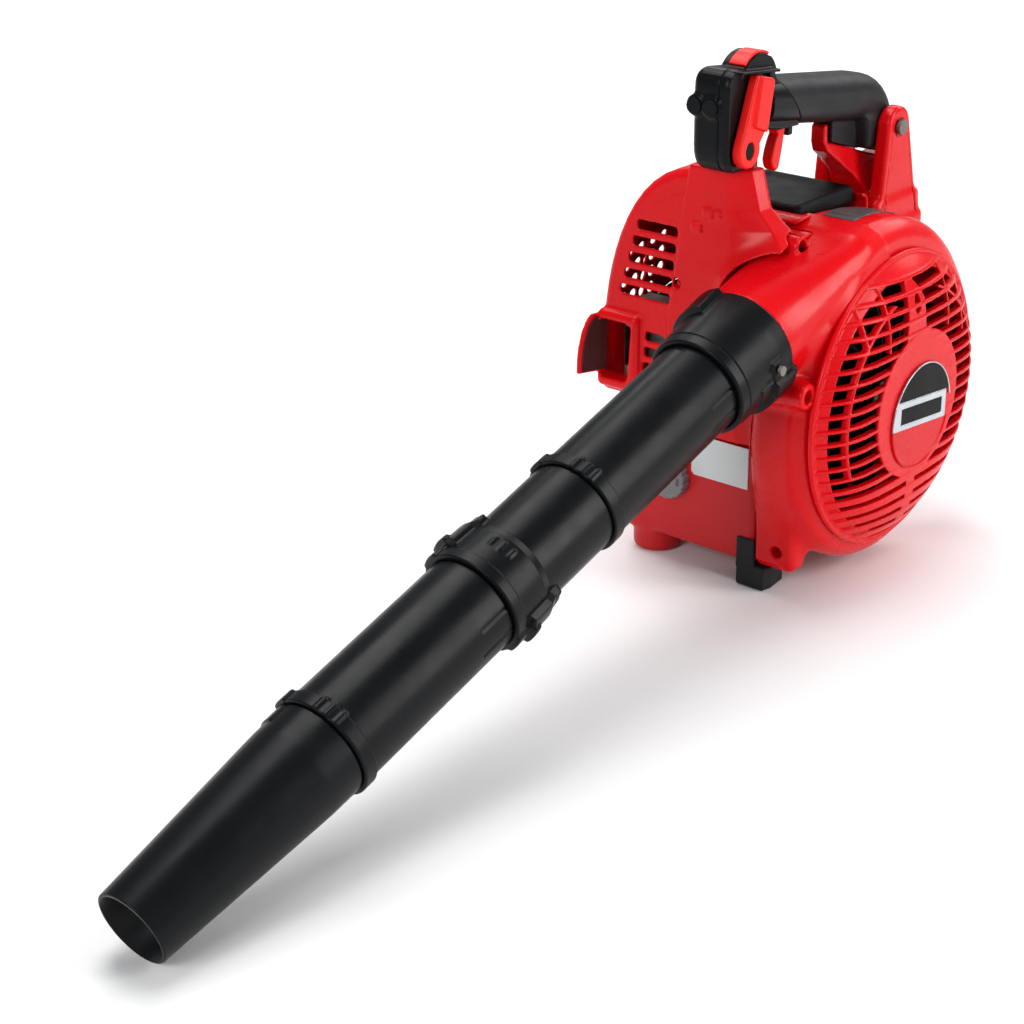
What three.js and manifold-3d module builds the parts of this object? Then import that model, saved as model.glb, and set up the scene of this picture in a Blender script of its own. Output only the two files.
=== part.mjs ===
// Hand-held petrol leaf blower: a scroll fan on the right, its two-stroke engine on the left, a
// handle on top and a blow tube in sections that slopes down to the front.
//
// Machine frame, in millimetres: the origin is the middle of the fan cover's rim, +X points out of
// the fan cover, -Y points forward to the nozzle and +Z up. The last lines move the whole machine
// so that its own origin is the bottom centre of its bounding box.

import * as THREE from 'three';
import { mergeVertices } from 'three/addons/utils/BufferGeometryUtils.js';
import Module from 'manifold-3d';

const wasm = await Module();
wasm.setup();

// ---- Driving dimensions -------------------------------------------------------------------------

const GAP = 0.3;                 // clearance between pieces that touch
const WALL = 2.6;                // moulded plastic wall
const FLOOR_Z = -137.5;          // what the feet stand on
const FRONT_Y = -96;             // flat front of the tank, the post and the engine cover

const RIM_RADIUS = 112.5;        // fan cover
const FAN_RADIUS = 93;           // impeller
const VOLUTE_BACK = -52;         // back wall of the scroll, except at its wider top
const VOLUTE_FACE = -1;          // face that the fan cover sits on

const TUBE_TILT = THREE.MathUtils.degToRad(17.1);   // blow tube, down to the front
const TUBE_X = -48.8;            // the tube's own plane
const TUBE_Z = 105.3;            // height of the tube's axis over the fan's axis
const PIPE_RADIUS = 34;
const BORE_RADIUS = 31.6;
// distances along the tube's axis from the fan's axis
const NECK_END = 130.3;
const COLLAR_END = 190.6;
const UPPER_END = 334;
const COUPLING_END = 440;
const LOWER_END = 583;
const NOZZLE_TIP = 740.4;
const TIP_RADIUS = 25.6;

const ENGINE_X = -112;           // middle of the cylinder
const COVER_LEFT = -200;         // engine cover's left side
const COVER_BOTTOM = -11;
const COVER_REAR = 50;
const RECESS_Z = 140;            // black shroud under the hand
const POST_TOP = 178;
const HANDLE_X = -88;            // middle plane of the handle
const GRIP_HALF = 18.5;
const BLOCK_LEFT = -108;         // front block of the handle
const LEVER_WALL = -77.3;        // side that the speed lever turns on
const LEDGE_RIGHT = -70;         // ledge over the lever
const TANK_TOP = -26;
const TANK_LOW_TOP = -56;        // behind the step, under the engine
const TANK_STEP = -58;
const TANK_BOTTOM = -118;
const TANK_LEFT = -176;
const TANK_RIGHT = -53;
const TANK_REAR = 55;
const REAR_BOLT = { y: 88, z: 178 };
const STARTER_RADIUS = 52;

const X = new THREE.Vector3(1, 0, 0);
const Y = new THREE.Vector3(0, 1, 0);
const Z = new THREE.Vector3(0, 0, 1);

// ---- Materials ----------------------------------------------------------------------------------

function finish(color, roughness, metalness = 0) {
  return () => new THREE.MeshStandardMaterial({ color, roughness, metalness });
}
const redPlastic = finish(0xd01820, 0.3);
const darkRed = finish(0xa8141a, 0.4);
const blackPlastic = finish(0x17191c, 0.45);
const rubber = finish(0x1f2123, 0.8);
const greyPlastic = finish(0x6e7072, 0.5);
const aluminium = finish(0xb4b6b8, 0.4, 0.9);
const steel = finish(0x8c8e90, 0.3, 1);
const labelFoil = finish(0xb8bcbc, 0.4, 0.4);
const ropeFibre = finish(0xd8d4c4, 0.9);
const filterFoam = finish(0x3c4a3a, 0.95);
const ceramic = finish(0xf0efe8, 0.3);

// ---- Solid helpers ------------------------------------------------------------------------------

function solid(geometry) {
  geometry.deleteAttribute('normal');
  geometry.deleteAttribute('uv');
  const merged = mergeVertices(geometry, 1e-3);
  const vertProperties = new Float32Array(merged.attributes.position.array);
  const triVerts = new Uint32Array(merged.index.array);
  const made = new wasm.Manifold(new wasm.Mesh({ numProp: 3, vertProperties, triVerts }));
  if (made.volume() > 0) return made;
  for (let i = 0; i < triVerts.length; i += 3) {
    [triVerts[i], triVerts[i + 1]] = [triVerts[i + 1], triVerts[i]];
  }
  return new wasm.Manifold(new wasm.Mesh({ numProp: 3, vertProperties, triVerts }));
}

// The largest of the bodies that a cut leaves.
function largest(piece) {
  return piece.decompose().sort((a, b) => b.volume() - a.volume())[0];
}

function joined(...pieces) {
  return pieces.reduce((whole, piece) => whole.add(piece));
}

function box(x0, x1, y0, y1, z0, z1) {
  const geometry = new THREE.BoxGeometry(x1 - x0, y1 - y0, z1 - z0);
  return solid(geometry.translate((x0 + x1) / 2, (y0 + y1) / 2, (z0 + z1) / 2));
}

// An outline is a list of [u, v] points or a Shape. A bevel rounds the two end faces' edges.
function extruded(outline, depth, bevel) {
  const points = Array.isArray(outline) ? outline.map(([u, v]) => new THREE.Vector2(u, v)) : null;
  const shape = points ? new THREE.Shape(points) : outline;
  const options = { depth: depth - 2 * bevel, bevelEnabled: bevel > 0, curveSegments: 5 };
  if (bevel > 0) {
    Object.assign(options, { bevelThickness: bevel, bevelSize: bevel, bevelOffset: -bevel });
    options.bevelSegments = 1;
  }
  return new THREE.ExtrudeGeometry(shape, options).translate(0, 0, bevel);
}

// Outline in (y, z), extruded from x0 to x1.
function prismX(outline, x0, x1, bevel = 0) {
  const turn = new THREE.Matrix4().makeBasis(Y, Z, X);
  return solid(extruded(outline, x1 - x0, bevel).applyMatrix4(turn).translate(x0, 0, 0));
}

// Outline in (x, z), extruded from y0 to y1.
function prismY(outline, y0, y1, bevel = 0) {
  const turn = new THREE.Matrix4().makeBasis(X, Z, Y.clone().negate());
  return solid(extruded(outline, y1 - y0, bevel).applyMatrix4(turn).translate(0, y1, 0));
}

// Outline in (x, y), extruded from z0 to z1.
function prismZ(outline, z0, z1, bevel = 0) {
  return solid(extruded(outline, z1 - z0, bevel).translate(0, 0, z0));
}

// A profile of [radius, distance] points turned about the line from origin along direction.
function turned(profile, origin, direction, segments = 20) {
  const points = profile.map(([r, t]) => new THREE.Vector2(r, t));
  const geometry = new THREE.LatheGeometry(points, segments);
  const turn = new THREE.Quaternion().setFromUnitVectors(Y, direction);
  return solid(geometry.applyQuaternion(turn).translate(origin.x, origin.y, origin.z));
}

function rod(from, to, radius, segments = 12, endRadius = radius) {
  const span = to.clone().sub(from);
  const profile = [[0, 0], [radius, 0], [endRadius, span.length()], [0, span.length()]];
  return turned(profile, from, span.normalize(), segments);
}

function ring(from, to, outer, inner, segments = 20) {
  const span = to.clone().sub(from);
  const length = span.length();
  const profile = [[inner, 0], [outer, 0], [outer, length], [inner, length], [inner, 0]];
  return turned(profile, from, span.normalize(), segments);
}

function at(x, y, z) {
  return new THREE.Vector3(x, y, z);
}

// A skin through closed sections that all have the same number of points.
function loft(sections) {
  const count = sections[0].length;
  const points = sections.flat();
  const faces = [];
  for (let i = 0; i + 1 < sections.length; i += 1) {
    for (let j = 0; j < count; j += 1) {
      const a = i * count + j;
      const b = i * count + (j + 1) % count;
      faces.push(a, b, a + count, b, b + count, a + count);
    }
  }
  for (const first of [0, (sections.length - 1) * count]) {
    for (let j = 1; j + 1 < count; j += 1) {
      if (first === 0) faces.push(0, j + 1, j);
      else faces.push(first, first + j, first + j + 1);
    }
  }
  const geometry = new THREE.BufferGeometry().setFromPoints(points);
  geometry.setIndex(faces);
  return solid(geometry);
}

// Points of a rectangle with round corners, as [u, v] pairs about its middle.
function roundedRectangle(width, height, corner, steps = 3) {
  const radius = Math.min(corner, width / 2 - 0.01, height / 2 - 0.01);
  const pairs = [];
  for (let quarter = 0; quarter < 4; quarter += 1) {
    const signU = quarter === 0 || quarter === 3 ? 1 : -1;
    const signV = quarter < 2 ? 1 : -1;
    for (let k = 0; k <= steps; k += 1) {
      const angle = (quarter + k / steps) * Math.PI / 2;
      const u = signU * (width / 2 - radius) + radius * Math.cos(angle);
      const v = signV * (height / 2 - radius) + radius * Math.sin(angle);
      pairs.push([u, v]);
    }
  }
  return pairs;
}

function roundedBox(x0, x1, y0, y1, z0, z1, corner, bevel = 0) {
  const middle = [(x0 + x1) / 2, (y0 + y1) / 2];
  const pairs = roundedRectangle(x1 - x0, y1 - y0, corner);
  return prismZ(pairs.map(([u, v]) => [u + middle[0], v + middle[1]]), z0, z1, bevel);
}

// Straight interpolation in a list of [at, value] pairs.
function along(table, t) {
  const next = table.findIndex(([key]) => key >= t);
  if (next <= 0) return table[next === 0 ? 0 : table.length - 1][1];
  const [k0, v0] = table[next - 1];
  const [k1, v1] = table[next];
  return v0 + (v1 - v0) * (t - k0) / (k1 - k0);
}

const machine = new THREE.Group();

function part(name, piece, material) {
  const { vertProperties, triVerts } = piece.getMesh();
  const geometry = new THREE.BufferGeometry();
  geometry.setAttribute('position', new THREE.BufferAttribute(vertProperties, 3));
  geometry.setIndex(new THREE.BufferAttribute(triVerts, 1));
  geometry.computeVertexNormals();
  const mesh = new THREE.Mesh(geometry, material());
  mesh.name = name;
  machine.add(mesh);
}

// ---- Places on the blow tube --------------------------------------------------------------------

const TUBE_AXIS = new THREE.Vector3(0, -Math.cos(TUBE_TILT), -Math.sin(TUBE_TILT));
const TUBE_UP = new THREE.Vector3(0, -Math.sin(TUBE_TILT), Math.cos(TUBE_TILT));
const TUBE_START = at(TUBE_X, 0, TUBE_Z);

function onTube(distance) {
  return TUBE_START.clone().addScaledVector(TUBE_AXIS, distance);
}

function tubePiece(profile, segments = 26) {
  return turned(profile, TUBE_START, TUBE_AXIS, segments);
}

// A block on the tube: centre distance and angle round the axis, 0 on top and 90 on the right.
function tubeBlock(distance, angle, radius, length, width, height) {
  const up = TUBE_UP.clone().applyAxisAngle(TUBE_AXIS, -THREE.MathUtils.degToRad(angle));
  const side = new THREE.Vector3().crossVectors(up, TUBE_AXIS);
  const turn = new THREE.Matrix4().makeBasis(side, TUBE_AXIS, up);
  const geometry = new THREE.BoxGeometry(width, length, height).applyMatrix4(turn);
  const centre = onTube(distance).addScaledVector(up, radius);
  return solid(geometry.translate(centre.x, centre.y, centre.z));
}

// ---- Scroll housing -----------------------------------------------------------------------------

// The scroll's radius grows round the fan's axis from its tongue, at 150 degrees, to its outlet.
// Angles run from the rear (0) over the top (90) to the front (180) and on.
const TONGUE = 150;
const OUTLET = 360 + 90 + THREE.MathUtils.radToDeg(TUBE_TILT);
const SCROLL_RADIUS = [[TONGUE, 113], [180, 117], [235, 127], [400, 128], [OUTLET, 136.6]];
const SCROLL_BACK = [[TONGUE, VOLUTE_BACK], [400, VOLUTE_BACK], [440, -62], [OUTLET, -80]];
const SCROLL_STEPS = 22;
const SCROLL_CORNER = 16;
const SCROLL_CORE = 63;
const TUBE_REACH = TUBE_Z * Math.cos(TUBE_TILT);
const OUTLET_FOOT = TUBE_Z * Math.sin(TUBE_TILT);

function scrollSections(inset) {
  const sections = [];
  for (let i = 0; i <= SCROLL_STEPS; i += 1) {
    const degrees = TONGUE + (OUTLET - TONGUE) * i / SCROLL_STEPS;
    const angle = THREE.MathUtils.degToRad(degrees);
    const back = along(SCROLL_BACK, degrees) + inset;
    const face = VOLUTE_FACE - inset;
    const radius = along(SCROLL_RADIUS, degrees) - inset;
    const width = face - back;
    const height = radius - SCROLL_CORE;
    const pairs = roundedRectangle(width, height, SCROLL_CORNER - inset);
    sections.push(pairs.map(([u, v]) => {
      const reach = SCROLL_CORE + height / 2 + v;
      return at(back + width / 2 + u, reach * Math.cos(angle), reach * Math.sin(angle));
    }));
  }
  return sections;
}

function ductSections(inset) {
  const stations = 6;
  const neck = 39.6 - inset;
  const sections = [];
  for (let i = 0; i <= stations; i += 1) {
    const t = i / stations;
    const ease = t * t * (3 - 2 * t);
    const back = -80 + inset;
    const face = VOLUTE_FACE - inset;
    const low = SCROLL_CORE - TUBE_REACH;
    const high = 136.6 - inset - TUBE_REACH;
    const width = THREE.MathUtils.lerp(face - back, 2 * neck, ease);
    const middleX = THREE.MathUtils.lerp((face + back) / 2, TUBE_X, ease);
    const height = THREE.MathUtils.lerp(high - low, 2 * neck, ease);
    const middleV = THREE.MathUtils.lerp((high + low) / 2, 0, ease);
    const corner = THREE.MathUtils.lerp(SCROLL_CORNER - inset, neck, ease);
    const centre = onTube(THREE.MathUtils.lerp(OUTLET_FOOT, NECK_END, t));
    sections.push(roundedRectangle(width, height, corner).map(([u, v]) => (
      at(middleX + u, centre.y, centre.z).addScaledVector(TUBE_UP, middleV + v)
    )));
  }
  return sections;
}

function scrollSolid(inset) {
  const core = rod(at(VOLUTE_BACK + inset, 0, 0), at(VOLUTE_FACE - inset, 0, 0), 98, 30);
  return joined(core, loft(scrollSections(inset)), loft(ductSections(inset)));
}

const scrollOuter = scrollSolid(0);
const scrollClear = scrollSolid(-GAP);

function cornerBlock() {
  const outline = [[-100, -30], [-100, -110], [-96, -116], [-80, -116], [-74, -80], [-80, -30]];
  return prismX(outline, -50, -16, 3);
}

function voluteHousing() {
  const cavity = joined(
    scrollSolid(WALL),
    rod(onTube(NECK_END - 12), onTube(NECK_END + 2), 39.6 - WALL, 36),
    rod(at(VOLUTE_FACE - 4, 0, 0), at(VOLUTE_FACE + 1, 0, 0), 103, 36),
    rod(at(VOLUTE_BACK - 1, 0, 0), at(VOLUTE_BACK + 4, 0, 0), 54, 24),
  );
  const screwHole = rod(at(-33, -106, -100), at(-33, -88, -100), 4, 12);
  const sideBoss = rod(at(-66, -68, 124), at(-40, -68, 124), 7.5, 16);
  const bossHole = rod(at(-52, -68, 124), at(-39, -68, 124), 4, 12);
  const shell = scrollOuter.add(cornerBlock()).add(sideBoss);
  return largest(shell.subtract(cavity).subtract(screwHole).subtract(bossHole));
}

function voluteBackplate() {
  const plate = ring(at(VOLUTE_BACK - GAP - 3, 0, 0), at(VOLUTE_BACK - GAP, 0, 0), 60, 10, 28);
  const bosses = [45, 135, 225, 315].map((degrees) => {
    const angle = THREE.MathUtils.degToRad(degrees);
    const y = 26 * Math.cos(angle);
    const z = 26 * Math.sin(angle);
    return rod(at(VOLUTE_BACK - GAP - 6, y, z), at(VOLUTE_BACK - GAP - 2, y, z), 5, 10);
  });
  return joined(plate, ...bosses);
}

// ---- Fan cover ----------------------------------------------------------------------------------

const PLATE_RADIUS = 60;
const PLATE_X = 22;
const COVER_PROFILE = [[PLATE_RADIUS, PLATE_X], [85, 17.5], [100, 12.5], [108, 7], [110, 2]];
const SLAT_PITCH = 10.3;
const SLAT_THICKNESS = 3.4;
const SLAT_COUNT = 19;
const SLAT_TOP = 82;

function slat(height, side) {
  const inner = height < PLATE_RADIUS - 3 && height > 3 - PLATE_RADIUS
    ? Math.sqrt((PLATE_RADIUS - 2) ** 2 - height ** 2) : 0;
  const outer = Math.sqrt(109 ** 2 - height ** 2);
  const steps = 3;
  const front = [];
  for (let i = 0; i <= steps; i += 1) {
    const y = inner + (outer - inner) * i / steps;
    const rise = along(COVER_PROFILE, Math.max(PLATE_RADIUS, Math.hypot(y, height)));
    front.push([rise, side * y]);
  }
  const back = front.map(([rise, y]) => [Math.max(rise - 5, 0.2), y]).reverse();
  return prismZ([...front, ...back], height - SLAT_THICKNESS / 2, height + SLAT_THICKNESS / 2);
}

function coverBand(inner, outer, depth, segments) {
  const rise = (r) => along(COVER_PROFILE, Math.max(PLATE_RADIUS, r));
  const profile = [
    [inner, rise(inner) - depth], [outer, rise(outer) - depth],
    [outer, rise(outer)], [inner, rise(inner)], [inner, rise(inner) - depth],
  ];
  return turned(profile, at(0, 0, 0), X, segments);
}

function fanCover() {
  const base = VOLUTE_FACE + GAP;
  const rim = turned([
    [104, base], [RIM_RADIUS, base], [RIM_RADIUS, 2], [109, 7], [104, base],
  ], at(0, 0, 0), X, 36);
  const plate = turned([
    [0, PLATE_X - 3], [PLATE_RADIUS - 1, PLATE_X - 3], [PLATE_RADIUS, PLATE_X], [0, PLATE_X],
  ], at(0, 0, 0), X, 24);
  const crescent = coverBand(84, 109, 3, 24)
    .intersect(box(0, 30, -110, 110, SLAT_TOP + 2, 112));
  const pieces = [rim, plate, coverBand(78, 82, 5, 16), crescent];
  for (let i = 0; i < SLAT_COUNT; i += 1) {
    const height = SLAT_TOP + 2 - i * SLAT_PITCH;
    pieces.push(slat(height, 1), slat(height, -1));
  }
  for (const degrees of [66, 90, 114]) {
    const angle = THREE.MathUtils.degToRad(degrees);
    const from = at(PLATE_X - 3, 57 * Math.cos(angle), 57 * Math.sin(angle));
    const to = at(10, 98 * Math.cos(angle), 98 * Math.sin(angle));
    pieces.push(rod(from, to, 2, 4));
  }
  return joined(...pieces);
}

function impeller() {
  const hub = ring(at(-47, 0, 0), at(-10, 0, 0), 16, 6.3, 20);
  const disc = ring(at(-47, 0, 0), at(-44, 0, 0), FAN_RADIUS, 6.3, 30);
  const pieces = [hub, disc];
  const blades = 10;
  for (let i = 0; i < blades; i += 1) {
    const start = i * 2 * Math.PI / blades;
    const front = [];
    const back = [];
    for (let k = 0; k <= 3; k += 1) {
      const r = 14 + (FAN_RADIUS - 15) * k / 3;
      const angle = start + 0.55 * k / 3;
      front.push([r * Math.cos(angle), r * Math.sin(angle)]);
      back.push([r * Math.cos(angle + 2.4 / r), r * Math.sin(angle + 2.4 / r)]);
    }
    pieces.push(prismX([...front, ...back.reverse()], -45, -12));
  }
  return joined(...pieces);
}

part('volute_housing', voluteHousing(), redPlastic);
part('volute_backplate', voluteBackplate(), blackPlastic);
part('fan_cover', fanCover(), redPlastic);
part('badge_plate', turned([
  [0, PLATE_X + GAP], [41, PLATE_X + GAP], [40, PLATE_X + 1.6], [0, PLATE_X + 1.6],
], at(0, 6, -11), X, 36), greyPlastic);
part('impeller', impeller(), blackPlastic);
part('fan_nut', joined(
  ring(at(-9.7, 0, 0), at(-8, 0, 0), 10, 5.2, 16),
  rod(at(-8.2, 0, 0), at(-3, 0, 0), 8, 6).subtract(rod(at(-9, 0, 0), at(-2, 0, 0), 5.3)),
), steel);

// ---- Blow tube ----------------------------------------------------------------------------------

const SPIGOT_RADIUS = BORE_RADIUS - GAP;
const SPIGOT_LENGTH = 26;
const SPIGOT_BORE = SPIGOT_RADIUS - 2;
const RING_RADIUS = 36;
const RING_LENGTH = 11;
const SOCKET_START = 160;

function outletCollar() {
  const body = tubePiece([
    [32, NECK_END + GAP], [41, NECK_END + GAP], [41, NECK_END + 12], [39, COLLAR_END - 8],
    [38, COLLAR_END], [PIPE_RADIUS + GAP, COLLAR_END], [PIPE_RADIUS + GAP, SOCKET_START],
    [32, SOCKET_START - 4], [32, NECK_END + GAP],
  ]);
  const lugs = [-50, 130].map((angle) => tubeBlock(NECK_END + 14, angle, 39.5, 26, 26, 6));
  const bore = rod(onTube(NECK_END), onTube(COLLAR_END), 34.5, 24);
  const boss = tubeBlock(NECK_END + 20, 90, 40, 12, 12, 6);
  return joined(body, ...lugs.map((lug) => lug.subtract(bore)), boss.subtract(bore));
}

function upperPipe() {
  return tubePiece([
    [BORE_RADIUS, SOCKET_START + 1], [PIPE_RADIUS, SOCKET_START + 1],
    [PIPE_RADIUS, UPPER_END - RING_LENGTH], [RING_RADIUS, UPPER_END - RING_LENGTH + 1],
    [RING_RADIUS, UPPER_END], [BORE_RADIUS, UPPER_END], [BORE_RADIUS, SOCKET_START + 1],
  ]);
}

function pipeCoupling() {
  const body = tubePiece([
    [SPIGOT_BORE, UPPER_END - SPIGOT_LENGTH], [SPIGOT_RADIUS, UPPER_END - SPIGOT_LENGTH],
    [SPIGOT_RADIUS, UPPER_END + GAP], [33.3, UPPER_END + GAP], [33.3, COUPLING_END - 32],
    [RING_RADIUS, COUPLING_END - 28], [RING_RADIUS + 0.8, COUPLING_END],
    [BORE_RADIUS, COUPLING_END], [BORE_RADIUS, UPPER_END + 6],
    [SPIGOT_BORE, UPPER_END], [SPIGOT_BORE, UPPER_END - SPIGOT_LENGTH],
  ]);
  const bore = rod(onTube(UPPER_END), onTube(COUPLING_END), 33, 24);
  const lugs = [-52, 128].map((angle) => (
    tubeBlock(COUPLING_END - 22, angle, 36, 30, 26, 8).subtract(bore)
  ));
  return joined(body, ...lugs);
}

function lowerPipe() {
  return tubePiece([
    [SPIGOT_BORE, COUPLING_END - SPIGOT_LENGTH], [SPIGOT_RADIUS, COUPLING_END - SPIGOT_LENGTH],
    [SPIGOT_RADIUS, COUPLING_END + GAP], [33.6, COUPLING_END + GAP],
    [33.6, LOWER_END - RING_LENGTH], [RING_RADIUS, LOWER_END - RING_LENGTH + 1],
    [RING_RADIUS, LOWER_END], [BORE_RADIUS, LOWER_END], [BORE_RADIUS, COUPLING_END + 6],
    [SPIGOT_BORE, COUPLING_END], [SPIGOT_BORE, COUPLING_END - SPIGOT_LENGTH],
  ]);
}

function nozzle() {
  return tubePiece([
    [SPIGOT_BORE, LOWER_END - SPIGOT_LENGTH], [SPIGOT_RADIUS, LOWER_END - SPIGOT_LENGTH],
    [SPIGOT_RADIUS, LOWER_END + GAP], [33.4, LOWER_END + GAP],
    [TIP_RADIUS, NOZZLE_TIP], [TIP_RADIUS - 2.4, NOZZLE_TIP], [SPIGOT_BORE, LOWER_END + 8],
    [SPIGOT_BORE, LOWER_END - SPIGOT_LENGTH],
  ]);
}

part('outlet_collar', outletCollar(), blackPlastic);
const collarSide = onTube(NECK_END + 20);
part('collar_screw', rod(
  at(TUBE_X + 43 + GAP, collarSide.y, collarSide.z),
  at(TUBE_X + 46, collarSide.y, collarSide.z), 3.6, 12,
), steel);
part('upper_pipe', upperPipe(), blackPlastic);
part('pipe_coupling', pipeCoupling(), blackPlastic);
part('lower_pipe', lowerPipe(), blackPlastic);
part('nozzle', nozzle(), blackPlastic);

// ---- Front post ---------------------------------------------------------------------------------

// Plan outlines of the post, wider lower down, from its top to the tank.
const POST_PLANS = [
  [TANK_TOP + GAP, [[-138, FRONT_Y], [-70, FRONT_Y], [-56, -92], [-56, -62], [-138, -62]]],
  [60, [[-138, FRONT_Y], [-88, FRONT_Y], [-56, -92], [-56, -62], [-138, -62]]],
  [100, [[-131, FRONT_Y], [-82, FRONT_Y - 2], [-38, -88], [-34, -48], [-131, -50]]],
  [118, [[-129, FRONT_Y], [-80, FRONT_Y - 1], [-40, -86], [-36, -54], [-129, -52]]],
  [135, [[-127, FRONT_Y], [-84.5, FRONT_Y], [-54, -82], [-50, -68], [-127, -58]]],
  [150, [[-125, FRONT_Y], [-87, FRONT_Y], [-66, -83], [-64, -72], [-125, -66]]],
  [POST_TOP, [[-120, FRONT_Y], [-89.5, FRONT_Y], [-73, -84], [-71, -73], [-120, -73]]],
];

function postSolid(inset) {
  return loft(POST_PLANS.map(([z, plan]) => {
    const middle = plan.reduce((sum, [x, y]) => [sum[0] + x / 5, sum[1] + y / 5], [0, 0]);
    return plan.map(([x, y]) => {
      const away = [x - middle[0], y - middle[1]];
      const reach = Math.hypot(...away);
      const scale = (reach - inset * 1.3) / reach;
      return at(middle[0] + away[0] * scale, middle[1] + away[1] * scale, z);
    });
  }));
}

const neckRoom = rod(onTube(60), onTube(COLLAR_END), 42.2, 36);
function frontPost() {
  const hollow = postSolid(3.4).subtract(box(-160, -20, -110, -20, POST_TOP - 4, POST_TOP + 4));
  return largest(
    postSolid(0).subtract(hollow).subtract(scrollClear).subtract(neckRoom)
      .subtract(rod(at(-70, -68, 124), at(-38, -68, 124), 7.9, 16)),
  );
}
part('front_post', frontPost(), redPlastic);

// ---- Engine cover -------------------------------------------------------------------------------

function coverFront(inset) {
  const shape = new THREE.Shape();
  shape.moveTo(-100, COVER_BOTTOM - (inset > 0 ? 1 : 0));
  shape.lineTo(COVER_LEFT + 14 + inset, COVER_BOTTOM - (inset > 0 ? 1 : 0));
  shape.lineTo(COVER_LEFT + inset, COVER_BOTTOM + 14);
  shape.lineTo(COVER_LEFT + inset, 48);
  shape.bezierCurveTo(
    COVER_LEFT + 4 + inset, 100 - inset, -176 + inset, 165 - inset, -122, 174 - inset,
  );
  shape.lineTo(-100, 174 - inset);
  return shape;
}

function coverRear(inset) {
  const shape = new THREE.Shape();
  const base = COVER_BOTTOM - (inset > 0 ? 1 : 0);
  shape.moveTo(-58, base);
  shape.lineTo(COVER_LEFT + inset, base);
  shape.lineTo(COVER_LEFT + inset, 60);
  shape.bezierCurveTo(
    COVER_LEFT + inset, 110 - inset, -188 + inset, 136 - inset, -160, 136 - inset,
  );
  shape.lineTo(-58, 136 - inset);
  return shape;
}

function slot(x0, x1, z, height) {
  return box(x0, x1, FRONT_Y - 2, FRONT_Y + 6, z - height / 2, z + height / 2);
}

const UPPER_SLOTS = 5;
const LOWER_SLOTS = 3;
const PRIMER = { x: -157.5, z: -0.5 };
const SLOT_PITCH = 13.1;

function engineCover() {
  const front = FRONT_Y + 2;
  const tall = prismY(coverFront(0), front, -34);
  const low = prismY(coverRear(0), -36, COVER_REAR);
  const roomFront = prismY(coverFront(WALL), front + WALL, -34 - WALL);
  const roomRear = prismY(coverRear(WALL), -40, COVER_REAR - WALL);
  const scoop = loft([
    [at(-163, front + 1, 55), at(-197, front + 1, 52), at(-197, front + 1, -4),
      at(-168, front + 1, -6)],
    [at(-161, -103, 52), at(-206, -103, 50), at(-206, -103, -4), at(-166, -103, -6)],
    [at(-163, -108, 46), at(-210, -120, 40), at(-210, -120, -3), at(-167, -106, -4)],
  ]);
  const mouth = loft([
    [at(-167, front + 4, 50), at(-193, front + 4, 48), at(-193, front + 4, 1),
      at(-172, front + 4, -1)],
    [at(-165.5, -103, 48), at(-203, -103, 46), at(-203, -103, 0), at(-170, -103, -2)],
    [at(-167, -110, 43), at(-207.5, -123, 37), at(-207.5, -123, 1), at(-171, -108, 0)],
  ]);
  let cover = tall.add(low).subtract(roomFront).subtract(roomRear).add(scoop).subtract(mouth);
  for (let i = 0; i < UPPER_SLOTS; i += 1) {
    cover = cover.subtract(slot(-167 - 3.8 * i, -131 - 1.4 * i, 124.5 - SLOT_PITCH * i, 7.4));
    cover = cover.subtract(box(-197 - 8, -190, -60 + 8 * i, -56 + 8 * i, 58, 96));
  }
  for (let i = 0; i < LOWER_SLOTS; i += 1) {
    cover = cover.subtract(slot(-159.5 - i, -142, 39 - SLOT_PITCH * 0.95 * i, 7));
  }
  for (let i = 0; i < 4; i += 1) {
    cover = cover.subtract(box(-152 + 14 * i, -144 + 14 * i, 40, 56, 96, 124));
  }
  const starterRoom = rod(at(-230, 0, 0), at(-166, 0, 0), STARTER_RADIUS + GAP, 40);
  const shroudRoom = box(-150, -59, -33, 46, 130, 150);
  return largest(
    cover.subtract(starterRoom).subtract(shroudRoom).subtract(postSolid(-GAP / 1.3))
      .subtract(box(-146, -84, 30, 60, 12, 84)).subtract(box(-195, -177, 30, 60, 24, 42))
      .subtract(rod(at(PRIMER.x, 44, PRIMER.z), at(PRIMER.x, 54, PRIMER.z), 10.8, 16))
      .subtract(scrollClear),
  );
}
part('engine_cover', engineCover(), redPlastic);

const RECESS = { x0: -149.5, x1: -66, y0: -32.5, y1: 45.5 };
part('top_shroud', joined(
  roundedBox(RECESS.x0, RECESS.x1, RECESS.y0, RECESS.y1, RECESS_Z - 3, RECESS_Z, 8),
  roundedBox(RECESS.x0 + 6, RECESS.x1 - 8, RECESS.y0 + 6, RECESS.y1 - 6, 126, RECESS_Z - 2, 6),
).subtract(roundedBox(RECESS.x0 + 9, RECESS.x1 - 11, RECESS.y0 + 9, RECESS.y1 - 9, 120,
  RECESS_Z - 4, 5)).subtract(scrollClear), blackPlastic);

// ---- Handle -------------------------------------------------------------------------------------

const DOME = { y: -74.5, z: 235.9, radius: 23.6, left: -98, right: -77 };
const STRIP = { left: -92, right: -78, from: 60, to: 136 };
const LEVER = { y: -94.8, z: 194.4, radius: 12.5, face: -69, blade: -66.5 };
const TRIGGER = { y: -46, z: 207, half: 4.5 };
const BLOCK_SCREWS = { xs: [-103, -89], z: 226 };

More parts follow.
